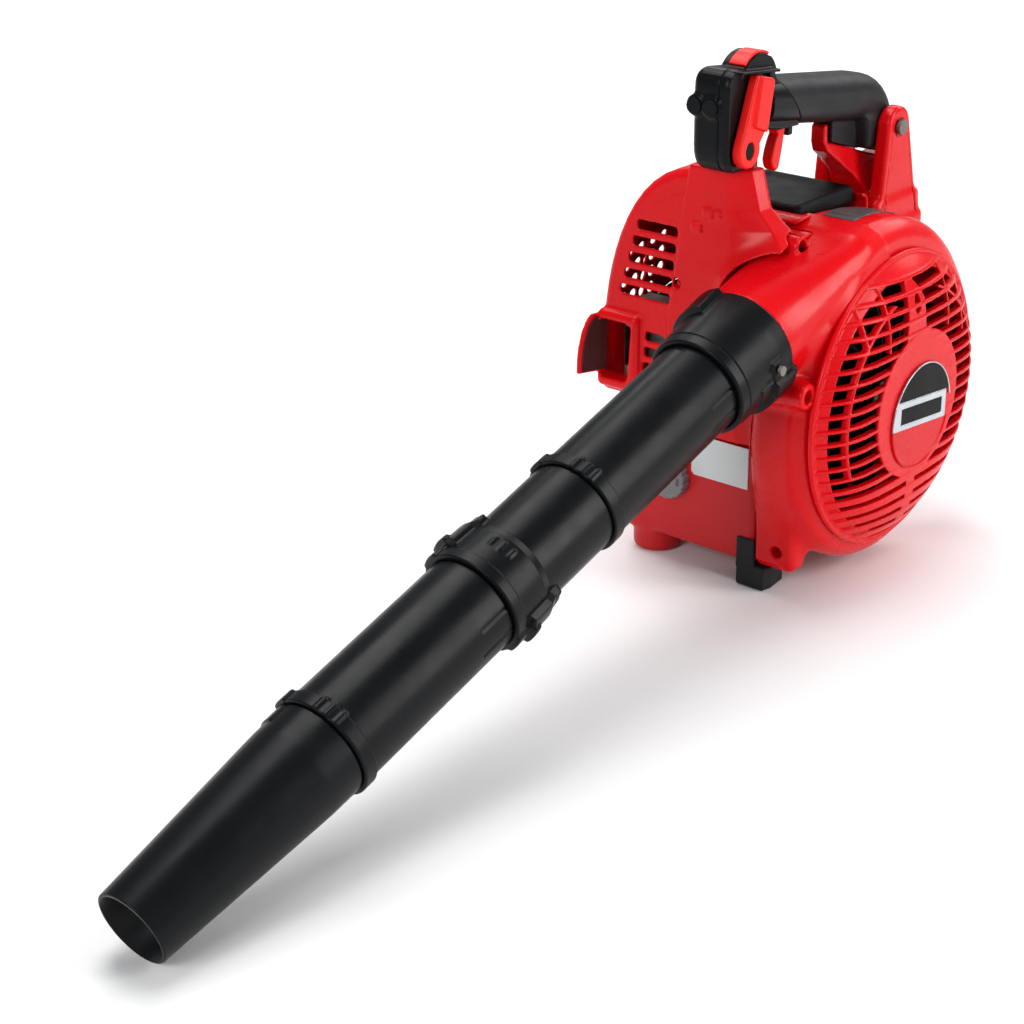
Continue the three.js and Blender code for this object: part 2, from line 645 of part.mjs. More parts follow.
// Outline in (y, z) of a strip over the dome, between two angles in degrees.
function domeStrip(inner, outer, from, to) {
  const steps = 10;
  const points = [];
  for (const [radius, start, end] of [[inner, from, to], [outer, to, from]]) {
    for (let i = 0; i <= steps; i += 1) {
      const angle = THREE.MathUtils.degToRad(start + (end - start) * i / steps);
      points.push([DOME.y + radius * Math.cos(angle), DOME.z + radius * Math.sin(angle)]);
    }
  }
  return points;
}

function handleBlock() {
  const side = new THREE.Shape();
  side.moveTo(-75, POST_TOP + GAP);
  side.lineTo(-98, POST_TOP + GAP);
  side.quadraticCurveTo(-113.7, POST_TOP + GAP, -113.7, 198);
  side.lineTo(-113.7, 238);
  side.quadraticCurveTo(-113.7, 251, -102, 251.5);
  side.lineTo(-59, 246);
  side.lineTo(-58, 241.5);
  side.lineTo(-27, 203.5);
  side.lineTo(-24.5, 198.5);
  side.lineTo(-50, 200);
  side.lineTo(-69, 204);
  side.lineTo(-75, 200);
  const plan = [
    [BLOCK_LEFT, -60], [BLOCK_LEFT, -105], [-99, -113.7], [-82, -113.7], [LEVER_WALL, -110],
    [LEVER_WALL, -62], [LEDGE_RIGHT, -45], [LEDGE_RIGHT, -20], [-106, -20],
  ];
  const ledge = [[-106, 249.8], [-106, 251.4], [-59, 246], [-59, 243.8]];
  const dome = rod(at(DOME.left, DOME.y, DOME.z), at(DOME.right, DOME.y, DOME.z), DOME.radius, 32)
    .intersect(box(DOME.left, DOME.right, -110, -40, 244, 262));
  const triggerRoom = box(
    HANDLE_X - TRIGGER.half - 0.8, HANDLE_X + TRIGGER.half + 0.8, -60, -20, 180, 214,
  );
  const leverHole = rod(at(LEVER_WALL - 20, LEVER.y, LEVER.z), at(-70, LEVER.y, LEVER.z), 4.3, 12);
  const groove = prismX(domeStrip(DOME.radius - 1.3, DOME.radius + 4, STRIP.from - 11,
    STRIP.to + 3), STRIP.left - GAP, STRIP.right + GAP);
  const screwHoles = BLOCK_SCREWS.xs.map((x) => (
    rod(at(x, -118, BLOCK_SCREWS.z), at(x, -100, BLOCK_SCREWS.z), 3.3, 10)
  ));
  return joined(
    prismX(side, BLOCK_LEFT, LEDGE_RIGHT).intersect(prismZ(plan, 170, 260)),
    prismX(ledge, LEVER_WALL - 2, LEDGE_RIGHT),
    dome,
  ).subtract(triggerRoom).subtract(leverHole).subtract(groove)
    .subtract(screwHoles[0]).subtract(screwHoles[1]);
}

const HEEL_HALF = 8.5;

function grip() {
  const shape = new THREE.Shape();
  shape.moveTo(-54.8, 237.8);
  shape.lineTo(60, 221);
  shape.quadraticCurveTo(92, 215, 103, 192);
  shape.lineTo(107, 158);
  shape.lineTo(100, 153);
  shape.lineTo(64, 164);
  shape.lineTo(58, 185);
  shape.lineTo(-24.2, 198.4);
  shape.lineTo(-26.6, 203.6);
  const boltHole = rod(
    at(HANDLE_X - 40, REAR_BOLT.y, REAR_BOLT.z), at(HANDLE_X + 40, REAR_BOLT.y, REAR_BOLT.z), 4.4, 14,
  );
  const tab = box(HANDLE_X - 4, HANDLE_X + 4, -24, -18, 189, 202);
  const heel = prismX([[28, 194], [66, 188], [66, 162.5], [28.5, 174.7]],
    HANDLE_X - HEEL_HALF, HANDLE_X + HEEL_HALF);
  return joined(prismX(shape, HANDLE_X - GRIP_HALF, HANDLE_X + GRIP_HALF, 5), tab, heel)
    .subtract(boltHole);
}

function rearBracket() {
  const ear = new THREE.Shape();
  ear.absarc(REAR_BOLT.y, REAR_BOLT.z, 15, 0.1, Math.PI - 0.3, false);
  ear.lineTo(66, 122);
  ear.lineTo(58, 108);
  ear.lineTo(60, 98);
  ear.lineTo(126, 98);
  const cradle = [
    [21.5, 186], [23, 188], [26.7, 187.5], [27.8, 174.2], [99, 150.5], [112, 152], [116, 116],
    [78, 112], [70, 130], [57, 145], [38, 158.5], [26, 168], [21.5, 176],
  ];
  const side = GRIP_HALF + 0.8;
  const outer = 31;
  const base = box(HANDLE_X - outer, HANDLE_X + outer, 60, 126, 98, 122);
  const boltHole = rod(
    at(HANDLE_X - 40, REAR_BOLT.y, REAR_BOLT.z), at(HANDLE_X + 40, REAR_BOLT.y, REAR_BOLT.z), 4.4, 14,
  );
  return joined(
    prismX(ear, HANDLE_X + side, HANDLE_X + outer, 2),
    prismX(ear, HANDLE_X - outer, HANDLE_X - side, 2),
    prismX(cradle, HANDLE_X - HEEL_HALF, HANDLE_X + HEEL_HALF),
    base,
    prismX([[62, 100], [62, 56], [100, 40], [124, 62], [126, 100]], -72, -56.5, 2),
  ).subtract(boltHole).subtract(scrollClear);
}

part('handle_block', handleBlock(), blackPlastic);
part('grip', grip(), blackPlastic);
part('rear_bracket', rearBracket(), redPlastic);
part('rear_bolt', joined(
  rod(at(HANDLE_X - 35, REAR_BOLT.y, REAR_BOLT.z), at(HANDLE_X + 33, REAR_BOLT.y, REAR_BOLT.z), 4, 14),
  rod(at(HANDLE_X + 31.4, REAR_BOLT.y, REAR_BOLT.z), at(HANDLE_X + 34.4, REAR_BOLT.y, REAR_BOLT.z),
    6, 14),
  rod(at(HANDLE_X - 35.4, REAR_BOLT.y, REAR_BOLT.z), at(HANDLE_X - 31.4, REAR_BOLT.y, REAR_BOLT.z),
    6, 6),
), steel);
BLOCK_SCREWS.xs.forEach((x, i) => {
  part(`block_screw_${i + 1}`, joined(
    rod(at(x, -104, BLOCK_SCREWS.z), at(x, -115, BLOCK_SCREWS.z), 3, 10),
    rod(at(x, -113.7 - GAP, BLOCK_SCREWS.z), at(x, -117, BLOCK_SCREWS.z), 6, 12),
  ), blackPlastic);
});

function trigger() {
  const shape = new THREE.Shape();
  shape.moveTo(-51.5, 207);
  shape.quadraticCurveTo(-51, 201, -40, 198);
  shape.lineTo(-38, 193);
  shape.quadraticCurveTo(-43, 186, -45.4, 176);
  shape.quadraticCurveTo(-45, 168, -39, 166.3);
  shape.quadraticCurveTo(-35, 166.5, -34, 172);
  shape.quadraticCurveTo(-31, 183, -28.6, 197);
  shape.lineTo(-34, 203);
  shape.lineTo(-40.5, 208);
  shape.quadraticCurveTo(-46, 215, -51.5, 207);
  const pinHole = rod(
    at(HANDLE_X - 20, TRIGGER.y, TRIGGER.z), at(HANDLE_X + 20, TRIGGER.y, TRIGGER.z), 2.4, 10,
  );
  return prismX(shape, HANDLE_X - TRIGGER.half, HANDLE_X + TRIGGER.half, 1).subtract(pinHole);
}
part('throttle_trigger', trigger(), redPlastic);
part('trigger_pin', rod(
  at(HANDLE_X - TRIGGER.half - 0.5, TRIGGER.y, TRIGGER.z),
  at(HANDLE_X + TRIGGER.half + 0.5, TRIGGER.y, TRIGGER.z), 2, 10,
), steel);

function throttleLever() {
  const shape = new THREE.Shape();
  shape.absarc(LEVER.y, LEVER.z, LEVER.radius, Math.PI * 0.9, Math.PI * 2.08, false);
  shape.lineTo(-77.5, 204);
  shape.lineTo(-70.5, 237);
  shape.quadraticCurveTo(-69.5, 241.5, -73, 242.5);
  shape.lineTo(-88, 246.3);
  shape.lineTo(-101, 211.5);
  const blade = [
    [-92.5, 211], [-77, 205], [-70.5, 237], [-70.3, 240.5], [-73, 242.5], [-86, 245.8],
  ];
  const recess = rod(
    at(LEVER.face - 2, LEVER.y, LEVER.z), at(LEVER.face + 2, LEVER.y, LEVER.z), 6, 16,
  );
  const plate = prismX(shape, LEVER_WALL + GAP, LEVER.face, 1.2);
  const spindle = rod(
    at(LEVER_WALL - 18, LEVER.y, LEVER.z), at(LEVER_WALL + 2, LEVER.y, LEVER.z), 4, 12,
  );
  return plate.subtract(recess).add(prismX(blade, LEVER.face - 2, LEVER.blade)).add(spindle);
}
part('throttle_lever', throttleLever(), redPlastic);

part('stop_switch', prismX(
  domeStrip(DOME.radius - 1, DOME.radius + 1, STRIP.from, STRIP.to), STRIP.left, STRIP.right,
), redPlastic);

// ---- Tank and feet ------------------------------------------------------------------------------

const CAP = { x: -129, z: -65, radius: 17 };
const FRONT_LEFT_FOOT = { x: -150, y: -76, radius: 19 };

function fuelTank() {
  const outer = joined(
    roundedBox(TANK_LEFT, TANK_RIGHT, FRONT_Y, TANK_STEP, TANK_BOTTOM, TANK_TOP, 8, 3),
    roundedBox(TANK_LEFT, TANK_RIGHT, FRONT_Y, TANK_REAR, TANK_BOTTOM, TANK_LOW_TOP, 8, 3),
  );
  const inner = joined(
    box(TANK_LEFT + WALL, TANK_RIGHT - 7, FRONT_Y + WALL, TANK_STEP - WALL, TANK_BOTTOM + 9,
      TANK_TOP - WALL),
    box(TANK_LEFT + WALL, TANK_RIGHT - 7, FRONT_Y + WALL, TANK_REAR - WALL, TANK_BOTTOM + WALL,
      TANK_LOW_TOP - WALL),
  );
  const plateRoom = rod(at(VOLUTE_BACK - 4, 0, 0), at(TANK_RIGHT + 1, 0, 0), 61, 28);
  const foot = rod(
    at(FRONT_LEFT_FOOT.x, FRONT_LEFT_FOOT.y, FLOOR_Z),
    at(FRONT_LEFT_FOOT.x, FRONT_LEFT_FOOT.y, TANK_BOTTOM + 2), FRONT_LEFT_FOOT.radius - 1, 24,
    FRONT_LEFT_FOOT.radius,
  );
  const neck = rod(at(CAP.x, FRONT_Y - 3, CAP.z), at(CAP.x, FRONT_Y + 4, CAP.z), 13.5, 24);
  const filler = rod(at(CAP.x, FRONT_Y - 4, CAP.z), at(CAP.x, FRONT_Y + 5, CAP.z), 11.6, 24);
  const hoseHole = rod(at(-146, 36, TANK_LOW_TOP - 6), at(-146, 36, TANK_LOW_TOP + 2), 3.4, 10);
  return joined(outer, foot, neck).subtract(inner).subtract(filler).subtract(hoseHole)
    .subtract(plateRoom);
}
part('fuel_tank', fuelTank(), darkRed);

function fuelCap() {
  const face = FRONT_Y - GAP;
  const shell = turned([
    [0, 3], [14.4, 3], [14.4, 0], [CAP.radius, 0], [CAP.radius, 7], [CAP.radius - 3, 10], [0, 11],
  ], at(CAP.x, face, CAP.z), Y.clone().negate(), 24);
  const plug = rod(at(CAP.x, FRONT_Y - 5, CAP.z), at(CAP.x, FRONT_Y + 6, CAP.z), 11, 24);
  const grooves = [];
  for (let i = 0; i < 6; i += 1) {
    const angle = i * Math.PI / 3;
    const x = CAP.x + CAP.radius * Math.cos(angle);
    const z = CAP.z + CAP.radius * Math.sin(angle);
    grooves.push(rod(at(x, face - 12, z), at(x, face + 1, z), 2.4, 6));
  }
  return grooves.reduce((whole, groove) => whole.subtract(groove), shell.add(plug));
}
part('fuel_cap', fuelCap(), greyPlastic);

function frontRightFoot() {
  const sole = prismZ([[-66, -99], [-42, -99], [-42, -72], [-66, -72]], FLOOR_Z, TANK_BOTTOM - GAP);
  const flap = box(-67, -51, -99, FRONT_Y - GAP, TANK_BOTTOM - 2, -98);
  return joined(sole, flap).subtract(cornerBlock().translate([0, 0, -GAP]))
    .subtract(cornerBlock()).subtract(scrollClear);
}
part('foot_front_right', frontRightFoot(), rubber);
[['foot_rear_left', -152], ['foot_rear_right', -72]].forEach(([name, x]) => {
  part(name, rod(at(x, 30, FLOOR_Z), at(x, 30, TANK_BOTTOM - GAP), 13, 20, 15), rubber);
});

// ---- Engine -------------------------------------------------------------------------------------

const CRANKCASE = { from: -61, to: -140, radius: 33 };

function crankcase() {
  const shell = ring(at(CRANKCASE.to, 0, 0), at(CRANKCASE.from, 0, 0), CRANKCASE.radius, 28);
  const walls = [
    ring(at(CRANKCASE.from - 4, 0, 0), at(CRANKCASE.from, 0, 0), 29, 8),
    ring(at(CRANKCASE.to, 0, 0), at(CRANKCASE.to + 4, 0, 0), 29, 8),
  ];
  const deck = box(ENGINE_X - 24, ENGINE_X + 24, -22, 22, 26, 35);
  const legs = [-24, 24].map((y) => box(-130, -74, y - 5, y + 5, TANK_LOW_TOP + GAP, -14));
  const room = rod(at(CRANKCASE.to + 4, 0, 0), at(CRANKCASE.from - 4, 0, 0), 28, 20);
  const bore = rod(at(ENGINE_X, 0, 10), at(ENGINE_X, 0, 40), 18.4, 16);
  return joined(shell, ...walls, deck, ...legs).subtract(room).subtract(bore);
}

function cylinderBlock() {
  const barrel = rod(at(ENGINE_X, 0, 35.3), at(ENGINE_X, 0, 102), 22);
  const flange = box(ENGINE_X - 23, ENGINE_X + 23, -21, 21, 35.3, 39);
  const fins = [0, 1, 2, 3, 4].map((i) => (
    roundedBox(ENGINE_X - 31, ENGINE_X + 31, -28, 28, 65 + 8 * i, 67.2 + 8 * i, 8)
  ));
  const bore = rod(at(ENGINE_X, 0, 30), at(ENGINE_X, 0, 92), 17.8, 16);
  const plugHole = rod(at(ENGINE_X, 0, 90), at(ENGINE_X, 0, 110), 5.3, 16);
  const inlet = rod(at(ENGINE_X, 10, 50), at(ENGINE_X, 26, 50), 6, 12);
  const exhaust = rod(at(ENGINE_X, -10, 48), at(ENGINE_X, -26, 48), 6, 12);
  const ports = [box(ENGINE_X - 14, ENGINE_X + 14, 20, 27, 42, 55),
    box(ENGINE_X - 14, ENGINE_X + 14, -27, -20, 42, 55)];
  return joined(barrel, flange, ...fins, ...ports).subtract(bore).subtract(plugHole)
    .subtract(inlet).subtract(exhaust);
}

function piston() {
  const body = rod(at(ENGINE_X, 0, 58), at(ENGINE_X, 0, 84), 17, 16);
  const skirt = rod(at(ENGINE_X, 0, 57), at(ENGINE_X, 0, 79), 14, 16);
  const pinHole = rod(at(ENGINE_X - 20, 0, 68), at(ENGINE_X + 20, 0, 68), 4.3, 14);
  return body.subtract(skirt).subtract(pinHole);
}

function connectingRod() {
  const small = ring(at(ENGINE_X - 4, 0, 68), at(ENGINE_X + 4, 0, 68), 7, 4.3, 18);
  const big = ring(at(ENGINE_X - 4, 0, 14), at(ENGINE_X + 4, 0, 14), 9, 5, 18);
  const shank = box(ENGINE_X - 3, ENGINE_X + 3, -3.5, 3.5, 22, 62);
  return joined(small, big, shank);
}

const SHAFT_END = -6;
const STARTER_PAWLS = -176;
function crankshaft() {
  const pinEnd = ENGINE_X + 4.5;
  const front = rod(at(pinEnd + 2, 0, 0), at(SHAFT_END, 0, 0), 5, 16);
  const journal = rod(at(pinEnd + 2, 0, 0), at(-55, 0, 0), 7.5, 18);
  const web = rod(at(pinEnd, 0, 0), at(pinEnd + 9, 0, 0), 24, 28);
  const lighter = [-1, 1].map((side) => (
    box(pinEnd - 1, pinEnd + 10, side * 21 - 9, side * 21 + 9, 4, 30)
  ));
  return joined(front, journal, web.subtract(lighter[0]).subtract(lighter[1]));
}

function rearShaft() {
  return joined(
    rod(at(STARTER_PAWLS, 0, 0), at(ENGINE_X - 12, 0, 0), 6.5, 16),
    rod(at(ENGINE_X - 12, 0, 0), at(ENGINE_X - 6, 0, 0), 14, 20),
  );
}

function flywheel() {
  const wheel = ring(at(-158, 0, 0), at(-146, 0, 0), 38, 6.8, 32);
  const dish = ring(at(-159, 0, 0), at(-152, 0, 0), 31, 14, 28);
  const magnet = box(-157, -147, -7, 7, 34, 39.5);
  return joined(wheel.subtract(dish), magnet);
}

part('crankcase', crankcase(), aluminium);
part('cylinder_block', cylinderBlock(), aluminium);
part('piston', piston(), aluminium);
part('piston_pin', rod(at(ENGINE_X - 13.6, 0, 68), at(ENGINE_X + 13.6, 0, 68), 4, 14), steel);
part('connecting_rod', connectingRod(), steel);
part('crankshaft', crankshaft(), steel);
part('rear_shaft', rearShaft(), steel);
part('flywheel', flywheel(), aluminium);
part('spark_plug', joined(
  rod(at(ENGINE_X, 0, 93), at(ENGINE_X, 0, 102.3), 5, 14),
  ring(at(ENGINE_X, 0, 102.3), at(ENGINE_X, 0, 107), 9, 1, 6),
  rod(at(ENGINE_X, 0, 102), at(ENGINE_X, 0, 113), 5, 14, 3.5),
), ceramic);
part('plug_cap', turned([
  [4.6, 107.5], [9, 107.5], [9, 121], [0, 123], [0, 114], [4.6, 114], [4.6, 107.5],
], at(ENGINE_X, 0, 0), Z, 16), rubber);
part('ignition_coil', joined(
  box(-158, -148, -20, 20, 43, 48),
  roundedBox(-162, -146, -12, 12, 47, 66, 3),
), blackPlastic);

function mufflerBody() {
  const x0 = -186;
  const x1 = -142;
  const outer = roundedBox(x0, x1, -86, -52, -8, 58, 5, 2);
  const inner = roundedBox(x0 + 2, x1 - 2, -84, -54, -6, 56, 4);
  const outlet = box(-184, -172, -90, -80, 8, 40);
  const pipe = box(x1 - 3, ENGINE_X + 8, -58, -28.3, 42, 55);
  const pipeBore = box(x1 - 6, ENGINE_X + 4, -56, -27, 44, 53);
  return joined(outer, pipe).subtract(inner).subtract(outlet)
    .subtract(pipeBore.subtract(box(-160, ENGINE_X - 6, -53.5, -20, 30, 60)));
}
part('muffler', mufflerBody(), steel);

// ---- Carburettor and air filter -----------------------------------------------------------------

part('carburettor', joined(
  box(ENGINE_X - 16, ENGINE_X + 16, 27.4, 33, 36, 62),
  roundedBox(ENGINE_X - 14, ENGINE_X + 14, 32, 56, 38, 62, 4),
).subtract(rod(at(ENGINE_X, 26, 50), at(ENGINE_X, 57, 50), 6, 14)), aluminium);

const FILTER = { x0: -150, x1: -76, y0: 56.3, z0: 8, z1: 92 };
part('filter_base', joined(
  roundedBoxY(FILTER.x0, FILTER.x1, FILTER.y0, FILTER.y0 + 4, FILTER.z0, FILTER.z1, 8),
).subtract(rod(at(ENGINE_X, 55, 50), at(ENGINE_X, 62, 50), 8, 14))
  .subtract(rod(at(ENGINE_X, 55, 78), at(ENGINE_X, 62, 78), 3.2, 10)), blackPlastic);

function roundedBoxY(x0, x1, y0, y1, z0, z1, corner, bevel = 0) {
  const pairs = roundedRectangle(x1 - x0, z1 - z0, corner);
  const outline = pairs.map(([u, v]) => [u + (x0 + x1) / 2, v + (z0 + z1) / 2]);
  return prismY(outline, y0, y1, bevel);
}

part('air_filter', roundedBoxY(FILTER.x0 + 7, FILTER.x1 - 7, 60.6, 72, FILTER.z0 + 7, 70, 5),
  filterFoam);

function filterCover() {
  const y0 = 60.6;
  const outer = roundedBoxY(FILTER.x0, FILTER.x1, y0, 84, FILTER.z0, FILTER.z1, 8, 4)
    .add(roundedBoxY(FILTER.x0, FILTER.x1, y0, 74, FILTER.z0, FILTER.z1, 8));
  const inner = roundedBoxY(
    FILTER.x0 + 3, FILTER.x1 - 3, y0 - 1, 81, FILTER.z0 + 3, FILTER.z1 - 3, 6,
  );
  const knobHole = rod(at(ENGINE_X, 70, 78), at(ENGINE_X, 90, 78), 4.4, 12);
  let cover = outer.subtract(inner).subtract(knobHole);
  for (let i = 0; i < 5; i += 1) {
    cover = cover.subtract(box(-140, -86, 80, 90, 20 + 9 * i, 23.5 + 9 * i));
  }
  return cover;
}
part('filter_cover', filterCover(), blackPlastic);
part('filter_knob', joined(
  rod(at(ENGINE_X, 61.5, 78), at(ENGINE_X, 86, 78), 4, 12),
  rod(at(ENGINE_X, 84.4, 78), at(ENGINE_X, 92, 78), 10, 20),
  box(ENGINE_X - 12, ENGINE_X + 12, 86, 94, 75, 81),
), blackPlastic);

part('choke_lever', joined(
  rod(at(-164, 50.4, 60), at(-164, 56, 60), 9, 18),
  prismY([[-168, 60], [-160, 60], [-161, 88], [-167, 88]], 51.5, 56),
), greyPlastic);
part('primer_bulb', turned([
  [0, 0], [10, 0], [10, 4], [8.5, 9], [5, 12], [0, 13],
], at(PRIMER.x, COVER_REAR + 0.4, PRIMER.z), Y, 16), greyPlastic);

// ---- Recoil starter -----------------------------------------------------------------------------

function starterHousing() {
  const left = -206;
  const cup = turned([
    [0, left], [44, left], [STARTER_RADIUS, left + 8], [STARTER_RADIUS, -168],
    [STARTER_RADIUS - WALL, -168], [STARTER_RADIUS - WALL, left + 10], [42, left + 3], [0, left + 3],
  ], at(0, 0, 0), X, 28);
  const post = rod(at(left + 2, 0, 0), at(-184, 0, 0), 6, 16);
  const ropeGuide = box(-194, -178, 38, 54, 25, 41);
  const ropeHole = rod(at(-186, 30, 33), at(-186, 60, 33), 2.6, 10);
  const pocket = rod(at(left + 3, 0, 0), at(-167, 0, 0), STARTER_RADIUS - WALL, 40)
    .intersect(box(left + 11, -167, -60, 60, -60, 60));
  let housing = joined(cup, post, ropeGuide.subtract(pocket)).subtract(ropeHole);
  for (let i = 0; i < 6; i += 1) {
    const angle = (i + 0.5) * Math.PI / 3;
    const from = at(left - 1, 18 * Math.cos(angle), 18 * Math.sin(angle));
    const to = at(left - 1, 36 * Math.cos(angle), 36 * Math.sin(angle));
    const radial = to.clone().sub(from).normalize();
    const across = new THREE.Vector3().crossVectors(X, radial).multiplyScalar(2.2);
    const corners = [
      from.clone().add(across), to.clone().add(across), to.clone().sub(across),
      from.clone().sub(across),
    ];
    housing = housing.subtract(prismX(corners.map((p) => [p.y, p.z]), left - 1, left + 4));
  }
  return housing;
}
part('starter_housing', starterHousing(), blackPlastic);
part('starter_reel', turned([
  [6.4, -198], [38, -198], [38, -195], [24, -194], [24, -188], [38, -187], [38, -184], [6.4, -184],
  [6.4, -198],
], at(0, 0, 0), X, 32), blackPlastic);
part('starter_rope', ring(at(-193.6, 0, 0), at(-188.4, 0, 0), 33, 24.4, 28), ropeFibre);
part('recoil_spring', ring(at(-202.4, 0, 0), at(-198.6, 0, 0), 30, 7, 28), steel);
part('starter_cup', joined(
  ring(at(-176, 0, 0), at(-166, 0, 0), 20, 6.8, 24),
  box(-182, -175, -4, 4, 10, 18),
  box(-182, -175, -4, 4, -18, -10),
), steel);
part('starter_handle', joined(
  roundedBox(-206, -166, 55, 66, 27, 39, 4, 2),
  rod(at(-186, 54.4, 33), at(-186, 58, 33), 6, 14),
), blackPlastic);

// ---- Labels -------------------------------------------------------------------------------------

part('tank_label', prismY(
  [[-111, -29], [-111, -57], [-107, -61], [-60, -61], [-60, -27], [-107, -27]],
  FRONT_Y - GAP - 0.6, FRONT_Y - GAP,
), labelFoil);

// ---- Place the machine on its own origin --------------------------------------------------------

const bounds = new THREE.Box3().setFromObject(machine);
machine.position.set(
  -(bounds.min.x + bounds.max.x) / 2, -(bounds.min.y + bounds.max.y) / 2, -bounds.min.z,
);

export default machine;
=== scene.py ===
"""Looks of a hand-held petrol leaf blower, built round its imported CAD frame.

Moulded pieces are described as distance fields in the machine frame, in millimetres: the origin is
the middle of the fan cover's rim, +X points out of the fan cover, -Y forward and +Z up. A field is
negative inside the piece. field_piece() turns one into a mesh whose vertices lie on the surface.
Pipes are turned from a radius that depends on the distance along the blow tube and the angle.
"""

import math
from itertools import product

import bpy
import numpy as np
from mathutils import Matrix, Vector


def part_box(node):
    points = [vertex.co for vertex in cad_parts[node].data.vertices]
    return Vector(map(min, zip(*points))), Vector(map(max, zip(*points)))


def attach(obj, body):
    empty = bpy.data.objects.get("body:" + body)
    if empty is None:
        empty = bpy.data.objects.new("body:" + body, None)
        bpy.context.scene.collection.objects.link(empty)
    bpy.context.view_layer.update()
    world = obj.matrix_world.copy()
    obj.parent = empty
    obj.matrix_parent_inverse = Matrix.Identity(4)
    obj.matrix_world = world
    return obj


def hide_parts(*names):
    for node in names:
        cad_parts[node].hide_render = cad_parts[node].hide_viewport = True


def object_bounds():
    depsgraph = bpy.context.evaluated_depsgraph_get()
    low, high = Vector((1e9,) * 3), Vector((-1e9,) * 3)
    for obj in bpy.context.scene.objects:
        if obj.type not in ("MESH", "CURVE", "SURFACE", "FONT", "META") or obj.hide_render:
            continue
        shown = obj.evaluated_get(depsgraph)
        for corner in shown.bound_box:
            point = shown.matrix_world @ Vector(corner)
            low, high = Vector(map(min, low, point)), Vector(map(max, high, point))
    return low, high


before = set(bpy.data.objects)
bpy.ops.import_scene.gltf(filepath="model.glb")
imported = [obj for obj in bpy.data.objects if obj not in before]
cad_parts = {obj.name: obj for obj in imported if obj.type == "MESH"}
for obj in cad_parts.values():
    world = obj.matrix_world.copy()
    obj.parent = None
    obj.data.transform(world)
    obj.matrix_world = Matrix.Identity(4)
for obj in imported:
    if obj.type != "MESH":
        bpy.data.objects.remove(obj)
cad_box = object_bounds()

# ---- Driving dimensions, in millimetres ----

MM = 0.001
TINY = 1e-9
GAP = 0.3
WALL = 2.6
VOLUTE_FACE = -1.0
VOLUTE_BACK = -52.0
RIM_RADIUS = 112.5
PLATE_RADIUS = 60.0
PLATE_X = 22.0
TUBE_TILT = math.radians(17.1)
TUBE_X = -48.8
TUBE_Z = 105.3
PIPE_RADIUS = 34.0
BORE_RADIUS = 31.6
SPIGOT_RADIUS = BORE_RADIUS - GAP
SPIGOT_BORE = SPIGOT_RADIUS - 2
SPIGOT_LENGTH = 26.0
RING_RADIUS = 36.0
RING_LENGTH = 11.0
NECK_END = 130.3
SOCKET_START = 160.0
COLLAR_END = 190.6
UPPER_END = 334.0
COUPLING_END = 440.0
LOWER_END = 583.0
NOZZLE_TIP = 740.4
TIP_RADIUS = 25.6
FRONT_Y = -96.0
COVER_LEFT = -200.0
COVER_BOTTOM = -11.0
COVER_REAR = 50.0
POST_TOP = 178.0
HANDLE_X = -88.0
BLOCK_LEFT = -108.0
LEVER_WALL = -77.3
LEDGE_RIGHT = -70.0
GRIP_HALF = 18.5
REAR_BOLT_Y = 88.0
REAR_BOLT_Z = 178.0
DOME_Y = -74.5
DOME_Z = 235.9
DOME_RADIUS = 23.6
LEVER_Y = -94.8
LEVER_Z = 194.4
SCREW_XS = (-103, -89)
SCREW_Z = 226.0
TANK_TOP = -26.0
TANK_BOTTOM = -118.0
FLOOR_Z = -137.5

cover_low, cover_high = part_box("fan_cover")
ORIGIN = Vector((
    cover_low.x - (VOLUTE_FACE + GAP) * MM,
    (cover_low.y + cover_high.y) / 2,
    (cover_low.z + cover_high.z) / 2,
))


def place(x, y, z):
    """A point of the machine frame in the row frame, in metres."""
    return ORIGIN + Vector((x, y, z)) * MM


# ---- Distance fields ----

def slab(value, low, high):
    return np.abs(value - (low + high) / 2) - (high - low) / 2


def rounded(*walls, radius=0.0):
    """The inside of several walls, with the edges between them rounded."""
    inner = [wall + radius for wall in walls]
    outside = np.sqrt(sum(np.maximum(wall, 0) ** 2 for wall in inner))
    deepest = inner[0]
    for wall in inner[1:]:
        deepest = np.maximum(deepest, wall)
    return outside + np.minimum(deepest, 0) - radius


def block(x, y, z, low, high, radius=0.0):
    walls = (slab(x, low[0], high[0]), slab(y, low[1], high[1]), slab(z, low[2], high[2]))
    return rounded(*walls, radius=radius)


def rod_x(x, y, z, x0, x1, cy, cz, radius, edge=0.0):
    return rounded(np.hypot(y - cy, z - cz) - radius, slab(x, x0, x1), radius=edge)


def rod_y(x, y, z, cx, y0, y1, cz, radius, edge=0.0):
    return rounded(np.hypot(x - cx, z - cz) - radius, slab(y, y0, y1), radius=edge)


def rod_z(x, y, z, cx, cy, z0, z1, radius, edge=0.0):
    return rounded(np.hypot(x - cx, y - cy) - radius, slab(z, z0, z1), radius=edge)


def union(first, *others, fillet=0.0):
    for other in others:
        near = np.maximum(fillet - np.abs(first - other), 0)
        first = np.minimum(first, other) - near * near / (4 * np.maximum(fillet, 1e-6))
    return first


def cut(first, *others, fillet=0.0):
    for other in others:
        first = -union(-first, other, fillet=fillet)
    return first


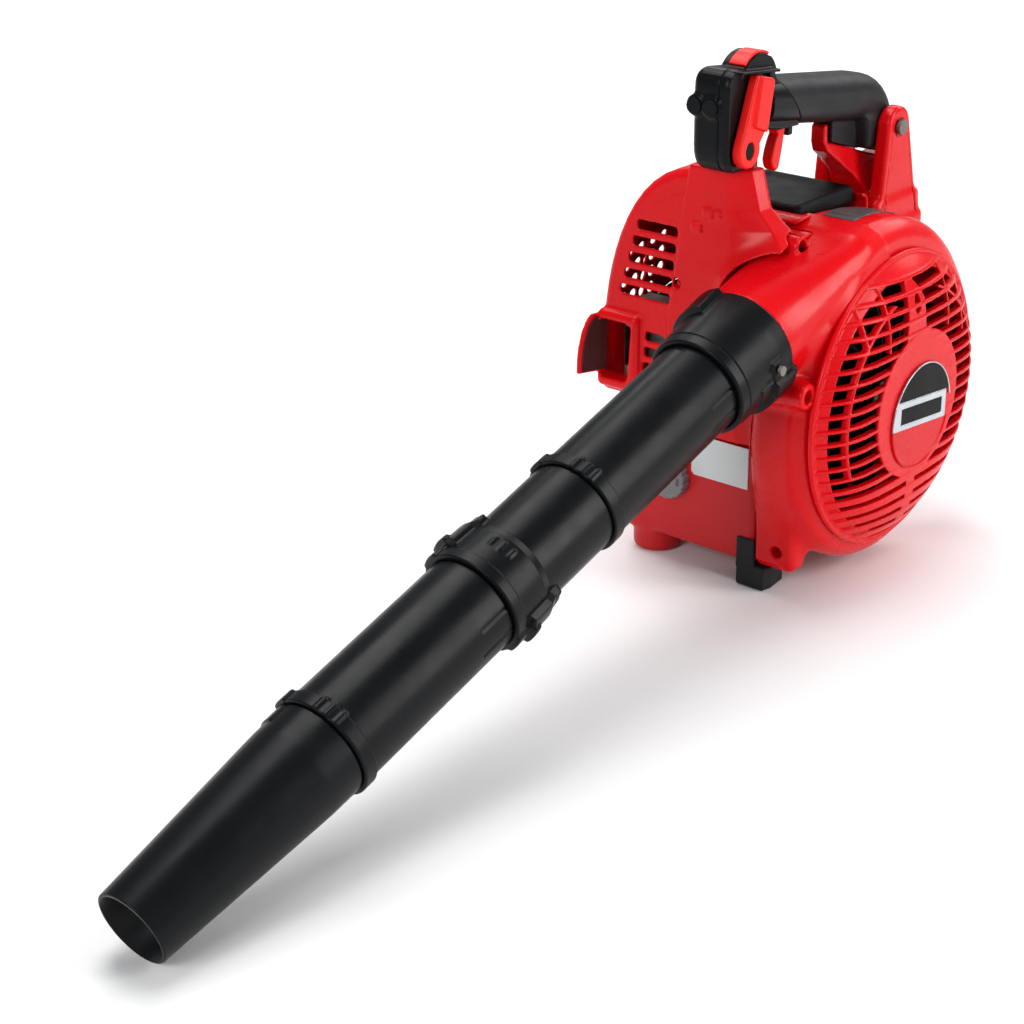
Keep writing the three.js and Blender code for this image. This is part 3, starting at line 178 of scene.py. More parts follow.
def polygon(u, v, corners):
    """Distance to a closed outline of (u, v) corners."""
    nearest = np.inf
    inside = False
    for (u0, v0), (u1, v1) in zip(corners, corners[1:] + corners[:1]):
        du, dv = u1 - u0, v1 - v0
        along = np.clip(((u - u0) * du + (v - v0) * dv) / (du * du + dv * dv + TINY), 0, 1)
        nearest = np.minimum(nearest, (u - u0 - along * du) ** 2 + (v - v0 - along * dv) ** 2)
        slope = du / np.where(np.abs(dv) < TINY, TINY, dv)
        inside = inside ^ (((v0 > v) != (v1 > v)) & (u < u0 + slope * (v - v0)))
    return np.where(inside, -1, 1) * np.sqrt(nearest)


def curve(start, *handles, steps=7):
    """Points of a Bezier curve after its start."""
    points = []
    for k in range(1, steps + 1):
        level = [start, *handles]
        t = k / steps
        while len(level) > 1:
            level = [(a[0] + (b[0] - a[0]) * t, a[1] + (b[1] - a[1]) * t)
                     for a, b in zip(level, level[1:])]
        points.append(level[0])
    return points


def arc(u, v, radius, start, end, steps=8):
    turns = [math.radians(start + (end - start) * k / steps) for k in range(steps + 1)]
    return [(u + radius * math.cos(a), v + radius * math.sin(a)) for a in turns]


def smooth_step(value, start, end):
    t = np.clip((value - start) / (end - start), 0, 1)
    return t * t * (3 - 2 * t)


# ---- Meshes ----

PROBE = 0.3
LONGEST_MOVE = 0.6
LEAST_STEEP = 0.25
GRID_MARGIN = 2


def project(points, field, step):
    """Moves points onto the field's surface along its slope, in two goes."""
    h = PROBE * step
    for _ in range(2):
        x, y, z = points.T
        value = field(x, y, z)
        slope = np.stack([
            field(x + h, y, z) - field(x - h, y, z),
            field(x, y + h, z) - field(x, y - h, z),
            field(x, y, z + h) - field(x, y, z - h),
        ], axis=1) / (2 * h)
        steep = np.maximum((slope ** 2).sum(axis=1), LEAST_STEEP)
        move = -(value / steep)[:, None] * slope
        length = np.linalg.norm(move, axis=1, keepdims=True)
        points = points + move * np.minimum(1, LONGEST_MOVE * step / np.maximum(length, TINY))
    return points


def surface(field, low, high, step):
    """Vertices and quads of the field's zero surface, by surface nets on a grid."""
    margin = GRID_MARGIN * step
    ticks = [np.arange(a - margin, b + margin + step, step) for a, b in zip(low, high)]
    shape = tuple(len(t) for t in ticks)
    grid = (ticks[0][:, None, None], ticks[1][None, :, None], ticks[2][None, None, :])
    value = np.full(shape, step, np.float32)
    value[1:-1, 1:-1, 1:-1] = np.broadcast_to(field(*grid), shape)[1:-1, 1:-1, 1:-1]
    inside = value < 0
    corners = list(product((0, 1), repeat=3))
    count = sum(
        inside[i:shape[0] - 1 + i, j:shape[1] - 1 + j, k:shape[2] - 1 + k].astype(np.int8)
        for i, j, k in corners
    )
    cells = np.argwhere((count > 0) & (count < 8))
    index = np.full(count.shape, -1, np.int64)
    index[tuple(cells.T)] = np.arange(len(cells))
    total = np.zeros((len(cells), 3))
    hits = np.zeros(len(cells))
    for a, b in product(corners, repeat=2):
        if sum(b) != sum(a) + 1 or any(p > q for p, q in zip(a, b)):
            continue
        at_a = value[tuple((cells + a).T)]
        at_b = value[tuple((cells + b).T)]
        crossed = (at_a < 0) != (at_b < 0)
        t = at_a[crossed] / (at_a[crossed] - at_b[crossed])
        total[crossed] += np.array(a) + t[:, None] * (np.array(b) - np.array(a))
        hits[crossed] += 1
    origin = np.array([t[0] for t in ticks])
    points = origin + step * (cells + total / hits[:, None])
    quads = []
    for axis in range(3):
        side, up = (axis + 1) % 3, (axis + 2) % 3
        ahead = np.moveaxis(inside, axis, 0)
        changed = ahead[1:] != ahead[:-1]
        where = np.argwhere(changed)
        outward = ahead[:-1][changed]
        spot = np.zeros((len(where), 3), int)
        order = [axis] + [a for a in range(3) if a != axis]
        for column, a in enumerate(order):
            spot[:, a] = where[:, column]
        ring = []
        for back_side, back_up in ((1, 1), (0, 1), (0, 0), (1, 0)):
            corner = spot.copy()
            corner[:, side] -= back_side
            corner[:, up] -= back_up
            ring.append(index[tuple(corner.T)])
        quad = np.stack(ring, axis=1)
        quad[~outward] = quad[~outward][:, ::-1]
        quads.append(quad)
    return project(points, field, step), np.concatenate(quads)


def add_object(name, data):
    holder = bpy.data.objects.new(name, data)
    bpy.context.scene.collection.objects.link(holder)
    return holder


def mesh_piece(name, points, quads, body, look, replaced=()):
    """A smooth piece from points in the machine frame and their quads."""
    slot, material = look
    mesh = bpy.data.meshes.new(name)
    place_all = np.asarray(points) * MM + np.array(ORIGIN)
    mesh.vertices.add(len(place_all))
    mesh.vertices.foreach_set("co", place_all.astype(np.float32).ravel())
    mesh.loops.add(quads.size)
    mesh.loops.foreach_set("vertex_index", quads.astype(np.int32).ravel())
    mesh.polygons.add(len(quads))
    mesh.polygons.foreach_set("loop_start", np.arange(0, quads.size, 4, dtype=np.int32))
    mesh.update(calc_edges=True)
    mesh.validate()
    mesh.shade_smooth()
    piece = add_object(name, mesh)
    mesh.materials.append(material)
    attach(piece, body)
    if replaced:
        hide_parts(*replaced)


def field_piece(name, field, low, high, step, look, replaced=(), body="housing"):
    """A piece from a field, meshed inside a box that it doesn't touch."""
    points, quads = surface(field, low, high, step)
    mesh_piece(name, points, quads, body, look, replaced)


# ---- Materials ----

def new_material(name):
    material = bpy.data.materials.new(name)
    material.use_nodes = True
    nodes = material.node_tree.nodes
    return material, nodes, material.node_tree.links, nodes["Principled BSDF"]


def set_inputs(node, **values):
    """Sets a node's inputs; an underscore in a name stands for a space."""
    for name, value in values.items():
        node.inputs[name.replace("_", " ")].default_value = value


def noise(nodes, links, scale, detail, coordinates):
    texture = nodes.new("ShaderNodeTexNoise")
    set_inputs(texture, Scale=scale, Detail=detail)
    links.new(coordinates.outputs["Object"], texture.inputs["Vector"])
    return texture


def between(nodes, links, source, low, high, target):
    """Maps a texture's middle range to low..high on a socket."""
    ramp = nodes.new("ShaderNodeMapRange")
    set_inputs(ramp, From_Min=0.3, From_Max=0.7, To_Min=low, To_Max=high)
    links.new(source.outputs["Fac"], ramp.inputs["Value"])
    links.new(ramp.outputs["Result"], target)


def tinted(nodes, links, source, dark, light, target):
    mix = nodes.new("ShaderNodeMix")
    mix.data_type = "RGBA"
    set_inputs(mix, A=(*dark, 1), B=(*light, 1))
    between(nodes, links, source, 0, 1, mix.inputs["Factor"])
    links.new(mix.outputs["Result"], target)


def bumped(nodes, links, textures, shader):
    """Stacks bumps: each is a texture, a strength and a height in metres."""
    normal = None
    for texture, strength, height in textures:
        bump = nodes.new("ShaderNodeBump")
        set_inputs(bump, Strength=strength, Distance=height)
        links.new(texture.outputs["Fac"], bump.inputs["Height"])
        if normal:
            links.new(normal, bump.inputs["Normal"])
        normal = bump.outputs["Normal"]
    links.new(normal, shader.inputs["Normal"])


DRIFT_SCALE = 9
SMEAR_SCALE = 55
SMEAR_BUMP = (0.05, 0.0006)
GRAIN_STRENGTH = 0.35
COAT_ROUGHNESS = 0.12


def plastic(name, dark, light, smooth, rough, grain, grain_height, coat=0.0, level=0.5):
    """Moulded plastic: slow colour drift, uneven gloss and a fine grain."""
    material, nodes, links, shader = new_material(name)
    where = nodes.new("ShaderNodeTexCoord")
    drift = noise(nodes, links, DRIFT_SCALE, 3, where)
    smear = noise(nodes, links, SMEAR_SCALE, 4, where)
    fine = noise(nodes, links, grain, 2, where)
    tinted(nodes, links, drift, dark, light, shader.inputs["Base Color"])
    between(nodes, links, smear, smooth, rough, shader.inputs["Roughness"])
    bumped(nodes, links, [(smear, *SMEAR_BUMP), (fine, GRAIN_STRENGTH, grain_height)], shader)
    set_inputs(shader, Coat_Weight=coat, Coat_Roughness=COAT_ROUGHNESS, Specular_IOR_Level=level)
    return material


def metal(name, dark, light, smooth, rough, grain):
    """Bare metal: slow colour drift and a grain that shows in the gloss."""
    material, nodes, links, shader = new_material(name)
    where = nodes.new("ShaderNodeTexCoord")
    drift = noise(nodes, links, 30, 4, where)
    fine = noise(nodes, links, grain, 3, where)
    tinted(nodes, links, drift, dark, light, shader.inputs["Base Color"])
    between(nodes, links, fine, smooth, rough, shader.inputs["Roughness"])
    bumped(nodes, links, [(fine, 0.3, 0.0002)], shader)
    set_inputs(shader, Metallic=1)
    return material


def braided(name):
    """Rope: strands as a wave across the surface."""
    material, nodes, links, shader = new_material(name)
    where = nodes.new("ShaderNodeTexCoord")
    wave = nodes.new("ShaderNodeTexWave")
    set_inputs(wave, Scale=260, Distortion=2)
    links.new(where.outputs["Object"], wave.inputs["Vector"])
    tinted(nodes, links, wave, (0.45, 0.42, 0.34), (0.78, 0.75, 0.66), shader.inputs["Base Color"])
    bumped(nodes, links, [(wave, 0.8, 0.0004)], shader)
    set_inputs(shader, Roughness=0.85)
    return material


# A look is the record's material slot and a material. After its name, a material takes its dark
# and light colour, its smoothest and roughest gloss, its grain's scale and, for plastic, depth.
RED = ("gloss_red", plastic(
    "red_gloss_plastic", (0.62, 0.0015, 0.0045), (0.7, 0.0025, 0.007), 0.22, 0.32, 900, 0.00003,
    coat=0.04, level=0.16))
TANK_RED = ("tank_red", plastic(
    "red_satin_plastic", (0.46, 0.009, 0.012), (0.52, 0.012, 0.016), 0.34, 0.44, 1400, 0.00006,
    level=0.2))
SIGNAL_RED = ("gloss_red", plastic(
    "red_control_plastic", (0.76, 0.009, 0.007), (0.84, 0.012, 0.009), 0.26, 0.36, 1200, 0.00003,
    level=0.2))
BLACK = ("black_plastic", plastic(
    "black_satin_plastic", (0.003, 0.0034, 0.004), (0.0045, 0.005, 0.006), 0.27, 0.36, 1500,
    0.00006, level=0.12))
BLACK_DARK = ("black_plastic", plastic(
    "black_inner_plastic", (0.003, 0.0034, 0.004), (0.005, 0.0055, 0.006), 0.5, 0.62, 1300,
    0.00008, level=0.12))
GRIP = ("grip_rubber", plastic(
    "soft_black_grip", (0.006, 0.0065, 0.0075), (0.009, 0.0098, 0.0112), 0.42, 0.54, 2200,
    0.00014, level=0.22))
# Painted shade: a near-black red for the deflector's inner face, standing in for the shade that falls
# there.
PAINTED_SHADE_RED = ("gloss_red", plastic(
    "painted_shade_red_plastic", (0.03, 0.004, 0.005), (0.09, 0.01, 0.012), 0.35, 0.5, 700, 0.00004,
    level=0.3))
RUBBER = ("rubber", plastic(
    "matt_black_rubber", (0.006, 0.0068, 0.0072), (0.01, 0.011, 0.0118), 0.55, 0.7, 1600,
    0.0001, level=0.3))
GREY = ("grey_plastic", plastic(
    "grey_moulded_plastic", (0.12, 0.118, 0.122), (0.16, 0.157, 0.162), 0.38, 0.5, 1400, 0.00006))
BADGE_BLACK = ("badge", plastic(
    "black_glossy_badge", (0.003, 0.003, 0.0035), (0.0045, 0.0045, 0.005), 0.3, 0.4, 700, 0.00001,
    level=0.06))
BADGE_RED = ("badge", plastic(
    "red_badge_print", (0.56, 0.0015, 0.006), (0.62, 0.0025, 0.008), 0.22, 0.3, 900, 0.00002,
    level=0.15))
SILVER = ("badge", metal("silver_badge_foil", (0.44, 0.47, 0.5), (0.58, 0.61, 0.64), 0.24, 0.36, 900))
FOIL = ("label_foil", plastic(
    "silver_label_foil", (0.5, 0.53, 0.53), (0.62, 0.65, 0.65), 0.35, 0.5, 1500, 0.00003))
GREY_LABEL = ("label_foil", plastic(
    "dark_grey_label", (0.05, 0.058, 0.06), (0.085, 0.095, 0.098), 0.28, 0.4, 1500, 0.00003))
ALUMINIUM = ("aluminium", metal(
    "cast_aluminium", (0.42, 0.43, 0.44), (0.58, 0.59, 0.6), 0.42, 0.6, 900))
STEEL = ("steel", metal("zinc_plated_steel", (0.48, 0.48, 0.47), (0.62, 0.62, 0.6), 0.22, 0.38, 1100))
DARK_STEEL = ("steel", metal(
    "heat_darkened_steel", (0.16, 0.15, 0.14), (0.27, 0.25, 0.23), 0.4, 0.6, 700))
ROPE = ("rope", braided("braided_rope"))
FOAM = ("foam", plastic("filter_foam", (0.04, 0.05, 0.04), (0.08, 0.09, 0.07), 0.9, 1, 420, 0.0012))
CERAMIC = ("ceramic", plastic(
    "glazed_ceramic", (0.76, 0.75, 0.7), (0.84, 0.83, 0.79), 0.12, 0.2, 600, 0.00001))


# ---- Scroll housing ----

# Angles run from the rear (0) over the top (90) to the front (180), then under the fan and round
# once more to the outlet on top. Past the outlet, the scroll shrinks inside the duct.
TONGUE = 150.0
OUTLET = 360 + 90 + math.degrees(TUBE_TILT)
TURN_END = TONGUE + 360
BURIED = OUTLET + 30
SCROLL_AT = [TONGUE, 180, 235, 400, OUTLET, BURIED, TURN_END]
SCROLL_REACH = [113, 117, 127, 128, 136.6, 113, 113]
BACK_AT = [TONGUE, 400, 440, OUTLET, BURIED, TURN_END]
BACK_X = [VOLUTE_BACK, VOLUTE_BACK, -62, -80, VOLUTE_BACK, VOLUTE_BACK]
SCROLL_CORNER = 16.0
SCROLL_CORE = 63.0
FACE_RADIUS = 98.0
MOUTH_RADIUS = 103.5
HUB_HOLE_RADIUS = 54.0
DUCT_X = -40.5
DUCT_HALF_X = 39.5
TUBE_REACH = TUBE_Z * math.cos(TUBE_TILT)
OUTLET_FOOT = TUBE_Z * math.sin(TUBE_TILT)
NECK_RADIUS = 39.6


def tube_place(y, z):
    """Distance along the blow tube's axis, and height over it."""
    along = -y * math.cos(TUBE_TILT) - (z - TUBE_Z) * math.sin(TUBE_TILT)
    height = -y * math.sin(TUBE_TILT) + (z - TUBE_Z) * math.cos(TUBE_TILT)
    return along, height


def scroll(x, y, z):
    """The fan's scroll: its outer wall and its back move out from the tongue to the outlet."""
    degrees = (np.degrees(np.arctan2(z, y)) - TONGUE) % 360 + TONGUE
    reach = np.interp(degrees, SCROLL_AT, SCROLL_REACH)
    back = np.interp(degrees, BACK_AT, BACK_X)
    r = np.hypot(y, z)
    drum = rounded(slab(x, back, VOLUTE_FACE), slab(r, SCROLL_CORE, reach), radius=SCROLL_CORNER)
    core = rounded(slab(x, VOLUTE_BACK, VOLUTE_FACE), r - FACE_RADIUS, radius=3)
    return np.minimum(drum, core)


def duct(x, y, z):
    """The outlet, from the scroll's rectangular section to the round neck."""
    along, height = tube_place(y, z)
    t = smooth_step(along, OUTLET_FOOT, NECK_END)
    low = SCROLL_CORE - TUBE_REACH
    high = SCROLL_REACH[4] - TUBE_REACH
    middle_x = DUCT_X + (TUBE_X - DUCT_X) * t
    half_x = DUCT_HALF_X + (NECK_RADIUS - DUCT_HALF_X) * t
    middle_v = (high + low) / 2 * (1 - t)
    half_v = (high - low) / 2 + (NECK_RADIUS - (high - low) / 2) * t
    corner = SCROLL_CORNER + (NECK_RADIUS - SCROLL_CORNER) * t
    side = rounded(np.abs(x - middle_x) - half_x, np.abs(height - middle_v) - half_v, radius=corner)
    return np.maximum(side, slab(along, OUTLET_FOOT - 16, NECK_END))


def volute_body(x, y, z):
    """Scroll and duct, with a round hollow between them that fades towards the top."""
    height = tube_place(y, z)[1]
    fillet = np.clip(14 - height * 0.55, 4, 16)
    return union(scroll(x, y, z), duct(x, y, z), fillet=fillet)


COLUMN = [(-100, -30), (-100, -110), (-96, -116), (-80, -116), (-74, -80), (-80, -30)]
COLUMN_X = (-50, -18)
FACE_BOSS = (-113, 33)
SIDE_BOSS = (-68, 124)


def volute_outside(x, y, z):
    """The scroll, the column under its outlet, whose outer corner is cut on a slant, and bosses."""
    slant = (0.75 * (x + 47) - (y + 117)) / 1.25
    column = rounded(polygon(y, z, COLUMN), slab(x, *COLUMN_X), slant, radius=3.5)
    shell = union(volute_body(x, y, z), column, fillet=12)
    face_boss = rod_x(x, y, z, -34, -0.5, *FACE_BOSS, 9.5, edge=2)
    side_boss = rod_x(x, y, z, -74, -40, *SIDE_BOSS, 7.5, edge=1.5)
    return union(union(shell, face_boss, fillet=9), side_boss, fillet=4)


def volute(x, y, z):
    """The scroll's shell, open at the fan's mouth, round the crankshaft and at the outlet."""
    along, height = tube_place(y, z)
    cavity = volute_body(x, y, z) + WALL
    mouth = rounded(np.hypot(y, z) - MOUTH_RADIUS, slab(x, -7, 4), radius=1)
    hub = rounded(np.hypot(y, z) - HUB_HOLE_RADIUS, slab(x, -56, -44), radius=1)
    outlet = np.maximum(np.hypot(x - TUBE_X, height) - NECK_RADIUS + WALL,
                        slab(along, NECK_END - 14, NECK_END + 4))
    inside = np.minimum(np.minimum(cavity, mouth), np.minimum(hub, outlet))
    shell = cut(volute_outside(x, y, z), inside, fillet=1)
    holes = [
        rod_y(x, y, z, -31, -114, -88, -101, 4.6),
        rod_x(x, y, z, -14, 4, *FACE_BOSS, 5),
        rod_x(x, y, z, -52, -38, *SIDE_BOSS, 4.8),
    ]
    return cut(shell, *holes, fillet=1)


def scroll_label(x, y, z):
    """A thin sheet that lies on top of the scroll."""
    sheet = np.abs(volute_body(x, y, z) - 0.35) - 0.3
    return rounded(sheet, slab(x, -55, -28), slab(y, -20, 40), 90 - z, radius=0.2)


# ---- Fan cover ----

SLAT_PITCH = 10.3
SLAT_TOP = 97.3
SLAT_HALF = 1.2
SLAT_REACH = 109.5
DOME_POWER = 2.6


def dome_height(r):
    t = np.clip((r - PLATE_RADIUS) / (RIM_RADIUS - PLATE_RADIUS), 0, 1)
    return PLATE_X * (1 - t ** DOME_POWER)


def dome_band(x, r, depth, sunk, inner, outer, edge=0.6):
    """A band of the dome between two radii, sunk below its surface."""
    t = np.clip((r - PLATE_RADIUS) / (RIM_RADIUS - PLATE_RADIUS), 0, 1)
    steep = PLATE_X * DOME_POWER * t ** (DOME_POWER - 1) / (RIM_RADIUS - PLATE_RADIUS)
    top = dome_height(r) - sunk
    level = (x - top) / np.sqrt(1 + steep ** 2)
    return rounded(np.abs(level + depth / 2) - depth / 2, slab(r, inner, outer), radius=edge)


STEM = [(-13, 99), (-6, 99), (5, 82), (9, 50), (-18, 50), (-16, 82)]
STEM_HOLE = (-4, 78)
PLATE_MIDDLE = (3, -1)
PLATE_EDGE = 56.5
THIN_RIBS = ((-65, 56), (-41, 50), (41, 50), (65, 40))
THIN_RIB_HALF = 0.9
LOW_RIB_HALF = 6.0


def fan_cover(x, y, z):
    """A slatted dome with a closed crescent on top, round the plate that carries the badge."""
    r = np.hypot(y, z)
    base = VOLUTE_FACE + GAP
    plate_r = np.hypot(y - PLATE_MIDDLE[0], z - PLATE_MIDDLE[1])
    plate = dome_band(x, plate_r, 3, 0, -1, PLATE_EDGE, edge=0.8)
    rim = rounded(slab(r, 105, RIM_RADIUS), slab(x, base, 3), radius=1.6)
    bead = np.hypot(r - 111, x - 2.4) - 1.1
    crescent = np.maximum(dome_band(x, r, 3, 0.2, 0, SLAT_REACH), SLAT_TOP - z)
    back_band = dome_band(x, r, 2.4, 2.2, 100, 111)
    step = np.round((z - SLAT_TOP) / SLAT_PITCH) * SLAT_PITCH + SLAT_TOP
    level = np.minimum(step, SLAT_TOP)
    half = SLAT_HALF + 2.1 * smooth_step(-level, 38, 66)
    slats = np.maximum(np.abs(z - level) - half, dome_band(x, r, 5.5, 0, 50, SLAT_REACH, edge=0.5))
    hoop = np.maximum(dome_band(x, r, 5, 0.4, 86.3, 88.5), slab(z, -36, 82))
    stem_hole = np.hypot((y - STEM_HOLE[0]) / 4, (z - STEM_HOLE[1]) / 7.5)
    stem = np.maximum(polygon(y, z, STEM), 1 - stem_hole)
    low_rib = np.maximum(np.abs(y) - LOW_RIB_HALF, slab(z, -104, -50))
    spokes = np.minimum(stem, low_rib)
    for side_y, low_z in THIN_RIBS:
        spokes = np.minimum(spokes, np.maximum(np.abs(y - side_y) - THIN_RIB_HALF, low_z - z))
    spokes = np.maximum(spokes, dome_band(x, r, 4.4, 0.5, 50, SLAT_REACH))
    whole = union(rim, bead, fillet=1)
    for piece in (plate, crescent, back_band, slats, hoop, spokes):
        whole = union(whole, piece, fillet=0.8)
    return np.maximum(whole, base - x)


BADGE_Y = 6.0
BADGE_Z = -11.0
BADGE_RADIUS = 41.0
BAND_SLOPE = -0.115
BAND_LOW = -17.2
BAND_TOP = 5.1
BAND_REAR = 40.5


def badge_disc(x, y, z, radius, top):
    return rounded(badge_reach(y, z) - radius, slab(x, PLATE_X + GAP, top), radius=0.5)


def badge_reach(y, z):
    return np.hypot(y - BADGE_Y, z - BADGE_Z)


def band_level(y, z):
    return z - BAND_SLOPE * y


def badge_black(x, y, z):
    disc = badge_disc(x, y, z, BADGE_RADIUS - 1.2, PLATE_X + 2)
    return np.maximum(disc, BAND_TOP + 0.2 - band_level(y, z))


def badge_red(x, y, z):
    disc = badge_disc(x, y, z, BADGE_RADIUS, PLATE_X + 1)
    ring = np.hypot(badge_reach(y, z) - BADGE_RADIUS + 1.2, x - PLATE_X - 1) - 0.9
    return np.maximum(union(disc, ring, fillet=0.6), band_level(y, z) - BAND_LOW + 0.2)


def badge_window(y, z):
    return np.maximum(slab(band_level(y, z), BAND_LOW + 4, BAND_TOP - 5.2), slab(y, -25, 35))


def badge_band(x, y, z):
    """The silver band across the badge, with a window, and the silver rim above it."""
    r = badge_reach(y, z)
    level = band_level(y, z)
    band = rounded(slab(level, BAND_LOW, BAND_TOP), y - BAND_REAR,
                   slab(x, PLATE_X + GAP, PLATE_X + 2.4), radius=0.8)
    rim = np.maximum(slab(r, BADGE_RADIUS - 1, BADGE_RADIUS), slab(x, PLATE_X + GAP, PLATE_X + 2.2))
    rim = np.maximum(rim, -level)
    window = rounded(badge_window(y, z), slab(x, PLATE_X + 1.6, PLATE_X + 4), radius=0.6)
    return np.maximum(cut(np.minimum(band, rim), window), r - BADGE_RADIUS)


def badge_panel(x, y, z):
    return rounded(badge_window(y, z), slab(x, PLATE_X + 1, PLATE_X + 1.9), radius=0.3)


# ---- Front post ----

POST_HEIGHTS = [-26, 60, 100, 118, 135, 150, POST_TOP]
POST_CORNERS = [
    ([-138, -138, -131, -129, -127, -125, -120], [-96] * 7),
    ([-70, -88, -82, -80, -84.5, -87, -89.5], [-96, -96, -98, -97, -96, -96, -96]),
    ([-56, -56, -38, -40, -54, -66, -73], [-92, -92, -88, -86, -82, -83, -84]),
    ([-56, -56, -34, -36, -50, -64, -71], [-62, -62, -48, -54, -68, -72, -73]),
    ([-138, -138, -131, -129, -127, -125, -120], [-62, -62, -50, -52, -58, -66, -73]),
]


COLLAR_ROOM = 42.4
POST_LUGS = (
    ((-116, -98.6, 129.5), (-107, -94, 136)),
    ((-106.5, -98, 141), (-98, -94, 148)),
    ((-96, -98, 143), (-91, -94, 148)),
)
CORNER_SHARE = 1.3


def post_plan(z, inset):
    """The post's outline at a height, its corners moved in by more than its walls."""
    corners = [(np.interp(z, POST_HEIGHTS, xs), np.interp(z, POST_HEIGHTS, ys))
               for xs, ys in POST_CORNERS]
    middle = [sum(c[k] for c in corners) / len(corners) for k in (0, 1)]
    moved = []
    for u, v in corners:
        reach = np.hypot(u - middle[0], v - middle[1])
        scale = (reach - CORNER_SHARE * inset) / reach
        moved.append((middle[0] + (u - middle[0]) * scale, middle[1] + (v - middle[1]) * scale))
    return moved


def post_column(x, y, z):
    side = polygon(x, y, post_plan(z, 2)) - 2
    return rounded(side, z - POST_TOP, TANK_TOP + GAP - z, radius=1.2)


def front_post(x, y, z):
    """The post: it hugs the scroll, leaves room for the collar and has three small lugs in front."""
    along, height = tube_place(y, z)
    post = union(post_column(x, y, z), volute_body(x, y, z) - 1.2, fillet=14)
    post = np.maximum(post, block(x, y, z, (-140, -112, -26), (-45, -46, POST_TOP), radius=1))
    collar_room = np.maximum(np.hypot(x - TUBE_X, height) - COLLAR_ROOM, slab(along, 60, 200))
    post = cut(post, collar_room, fillet=2)
    lugs = [block(x, y, z, low, high, radius=1) for low, high in POST_LUGS]
    post = np.maximum(union(post, *lugs, fillet=1.5), GAP - volute_outside(x, y, z))
    screw = rod_y(x, y, z, -129, -104, -90, 87, 4.2)
    eye_room = rod_x(x, y, z, -75, -20, *SIDE_BOSS, 9.5)
    return cut(post, screw, eye_room, fillet=1.2)


# ---- Engine cover ----

LEFT_OUTLINE = [(COVER_LEFT, 48)] + curve(
    (COVER_LEFT, 48), (COVER_LEFT + 4, 100), (-176, 165), (-122, 174), steps=12)
REAR_OUTLINE = [(COVER_LEFT, 60)] + curve(
    (COVER_LEFT, 60), (COVER_LEFT, 110), (-188, 136), (-160, 136), steps=8)
BEYOND = 40.0
FRONT_LOW = -34.0


def cover_outline(curved, right, below):
    return [(right, curved[-1][1]), *reversed(curved), (COVER_LEFT, below), (right, below)]


FRONT_WALL = cover_outline(LEFT_OUTLINE, -100, COVER_BOTTOM - BEYOND)
REAR_WALL = cover_outline(REAR_OUTLINE, -58 + BEYOND, COVER_BOTTOM - BEYOND)


def cover_solid(x, y, z, inset):
    """The cover's outside, or its room when an inset is given."""
    front = rounded(polygon(x, z, FRONT_WALL) + inset,
                    slab(y, FRONT_Y + 2 + inset, FRONT_LOW - inset), radius=max(7 - inset, 1))
    rear = rounded(polygon(x, z, REAR_WALL) + inset,
                   slab(y, FRONT_LOW - 14, COVER_REAR - inset), radius=max(8 - inset, 1))
    return union(front, rear, fillet=3)


def scoop_frame(x, y, z):
    return block(x, y, z, (-201, FRONT_Y - 4, -8), (-162, FRONT_Y + 12, 54), radius=5)


SCOOP_FLARE = 0.45


def flared_sheet(x, y, z, middle, half, low, high, bend, reach, root, radius):
    """An upright sheet that flares to the left and reaches furthest forward low down."""
    sheet = np.abs(x - middle + SCOOP_FLARE * (FRONT_Y - y)) - half
    rise = np.clip((z - bend[0]) / (bend[1] - bend[0]), 0, 1)
    edge = FRONT_Y - root / 2 - reach * np.sqrt(1 - rise ** 2)
    return rounded(sheet, slab(z, low, high), edge - y, y - FRONT_Y - root, radius=radius)


def scoop_blade(x, y, z):
    """The exhaust deflector."""
    return flared_sheet(x, y, z, -199.5, 1.5, 3, 50, (4, 51), reach=15, root=6, radius=1.2)


def scoop_painted_shade(x, y, z):
    """A thin dark sheet on the deflector's inner face: painted shade."""
    return flared_sheet(x, y, z, -197.4, 0.35, 4.5, 48, (5, 49), reach=14, root=4, radius=0.2)


def scoop_mouth(x, y, z):
    lean = 0.12 * (24 - z)
    side = np.maximum(-198.8 - x, x + 0.6 * lean + 169.5)
    return rounded(side, slab(z, 0, 47), slab(y, -140, FRONT_Y + 16), radius=5)


SLOTS_X = (-167, -131)
SLOT_TOP_Z = 124.5
SLOT_PITCH = 13.1
SLOT_HALF = 3.7
LOW_SLOT_TOP_Z = 39.0
LOW_SLOT_PITCH = 12.4
LOW_SLOT_HALF = 3.5
HOLE_RADIUS = 4.4
HOLE_FIRST = (-70, 94)
HOLE_PITCH_Y = 12
STARTER_CLEARANCE = 62.0
STARTER_ROOM = 52.4
CREASE_MIDDLE = (-96, 60)
CREASE_RADIUS = 100.0
CREASE_LOW = 144.0
REAR_SLOT_PITCH = 14
REAR_SLOT_WIDTH = 8


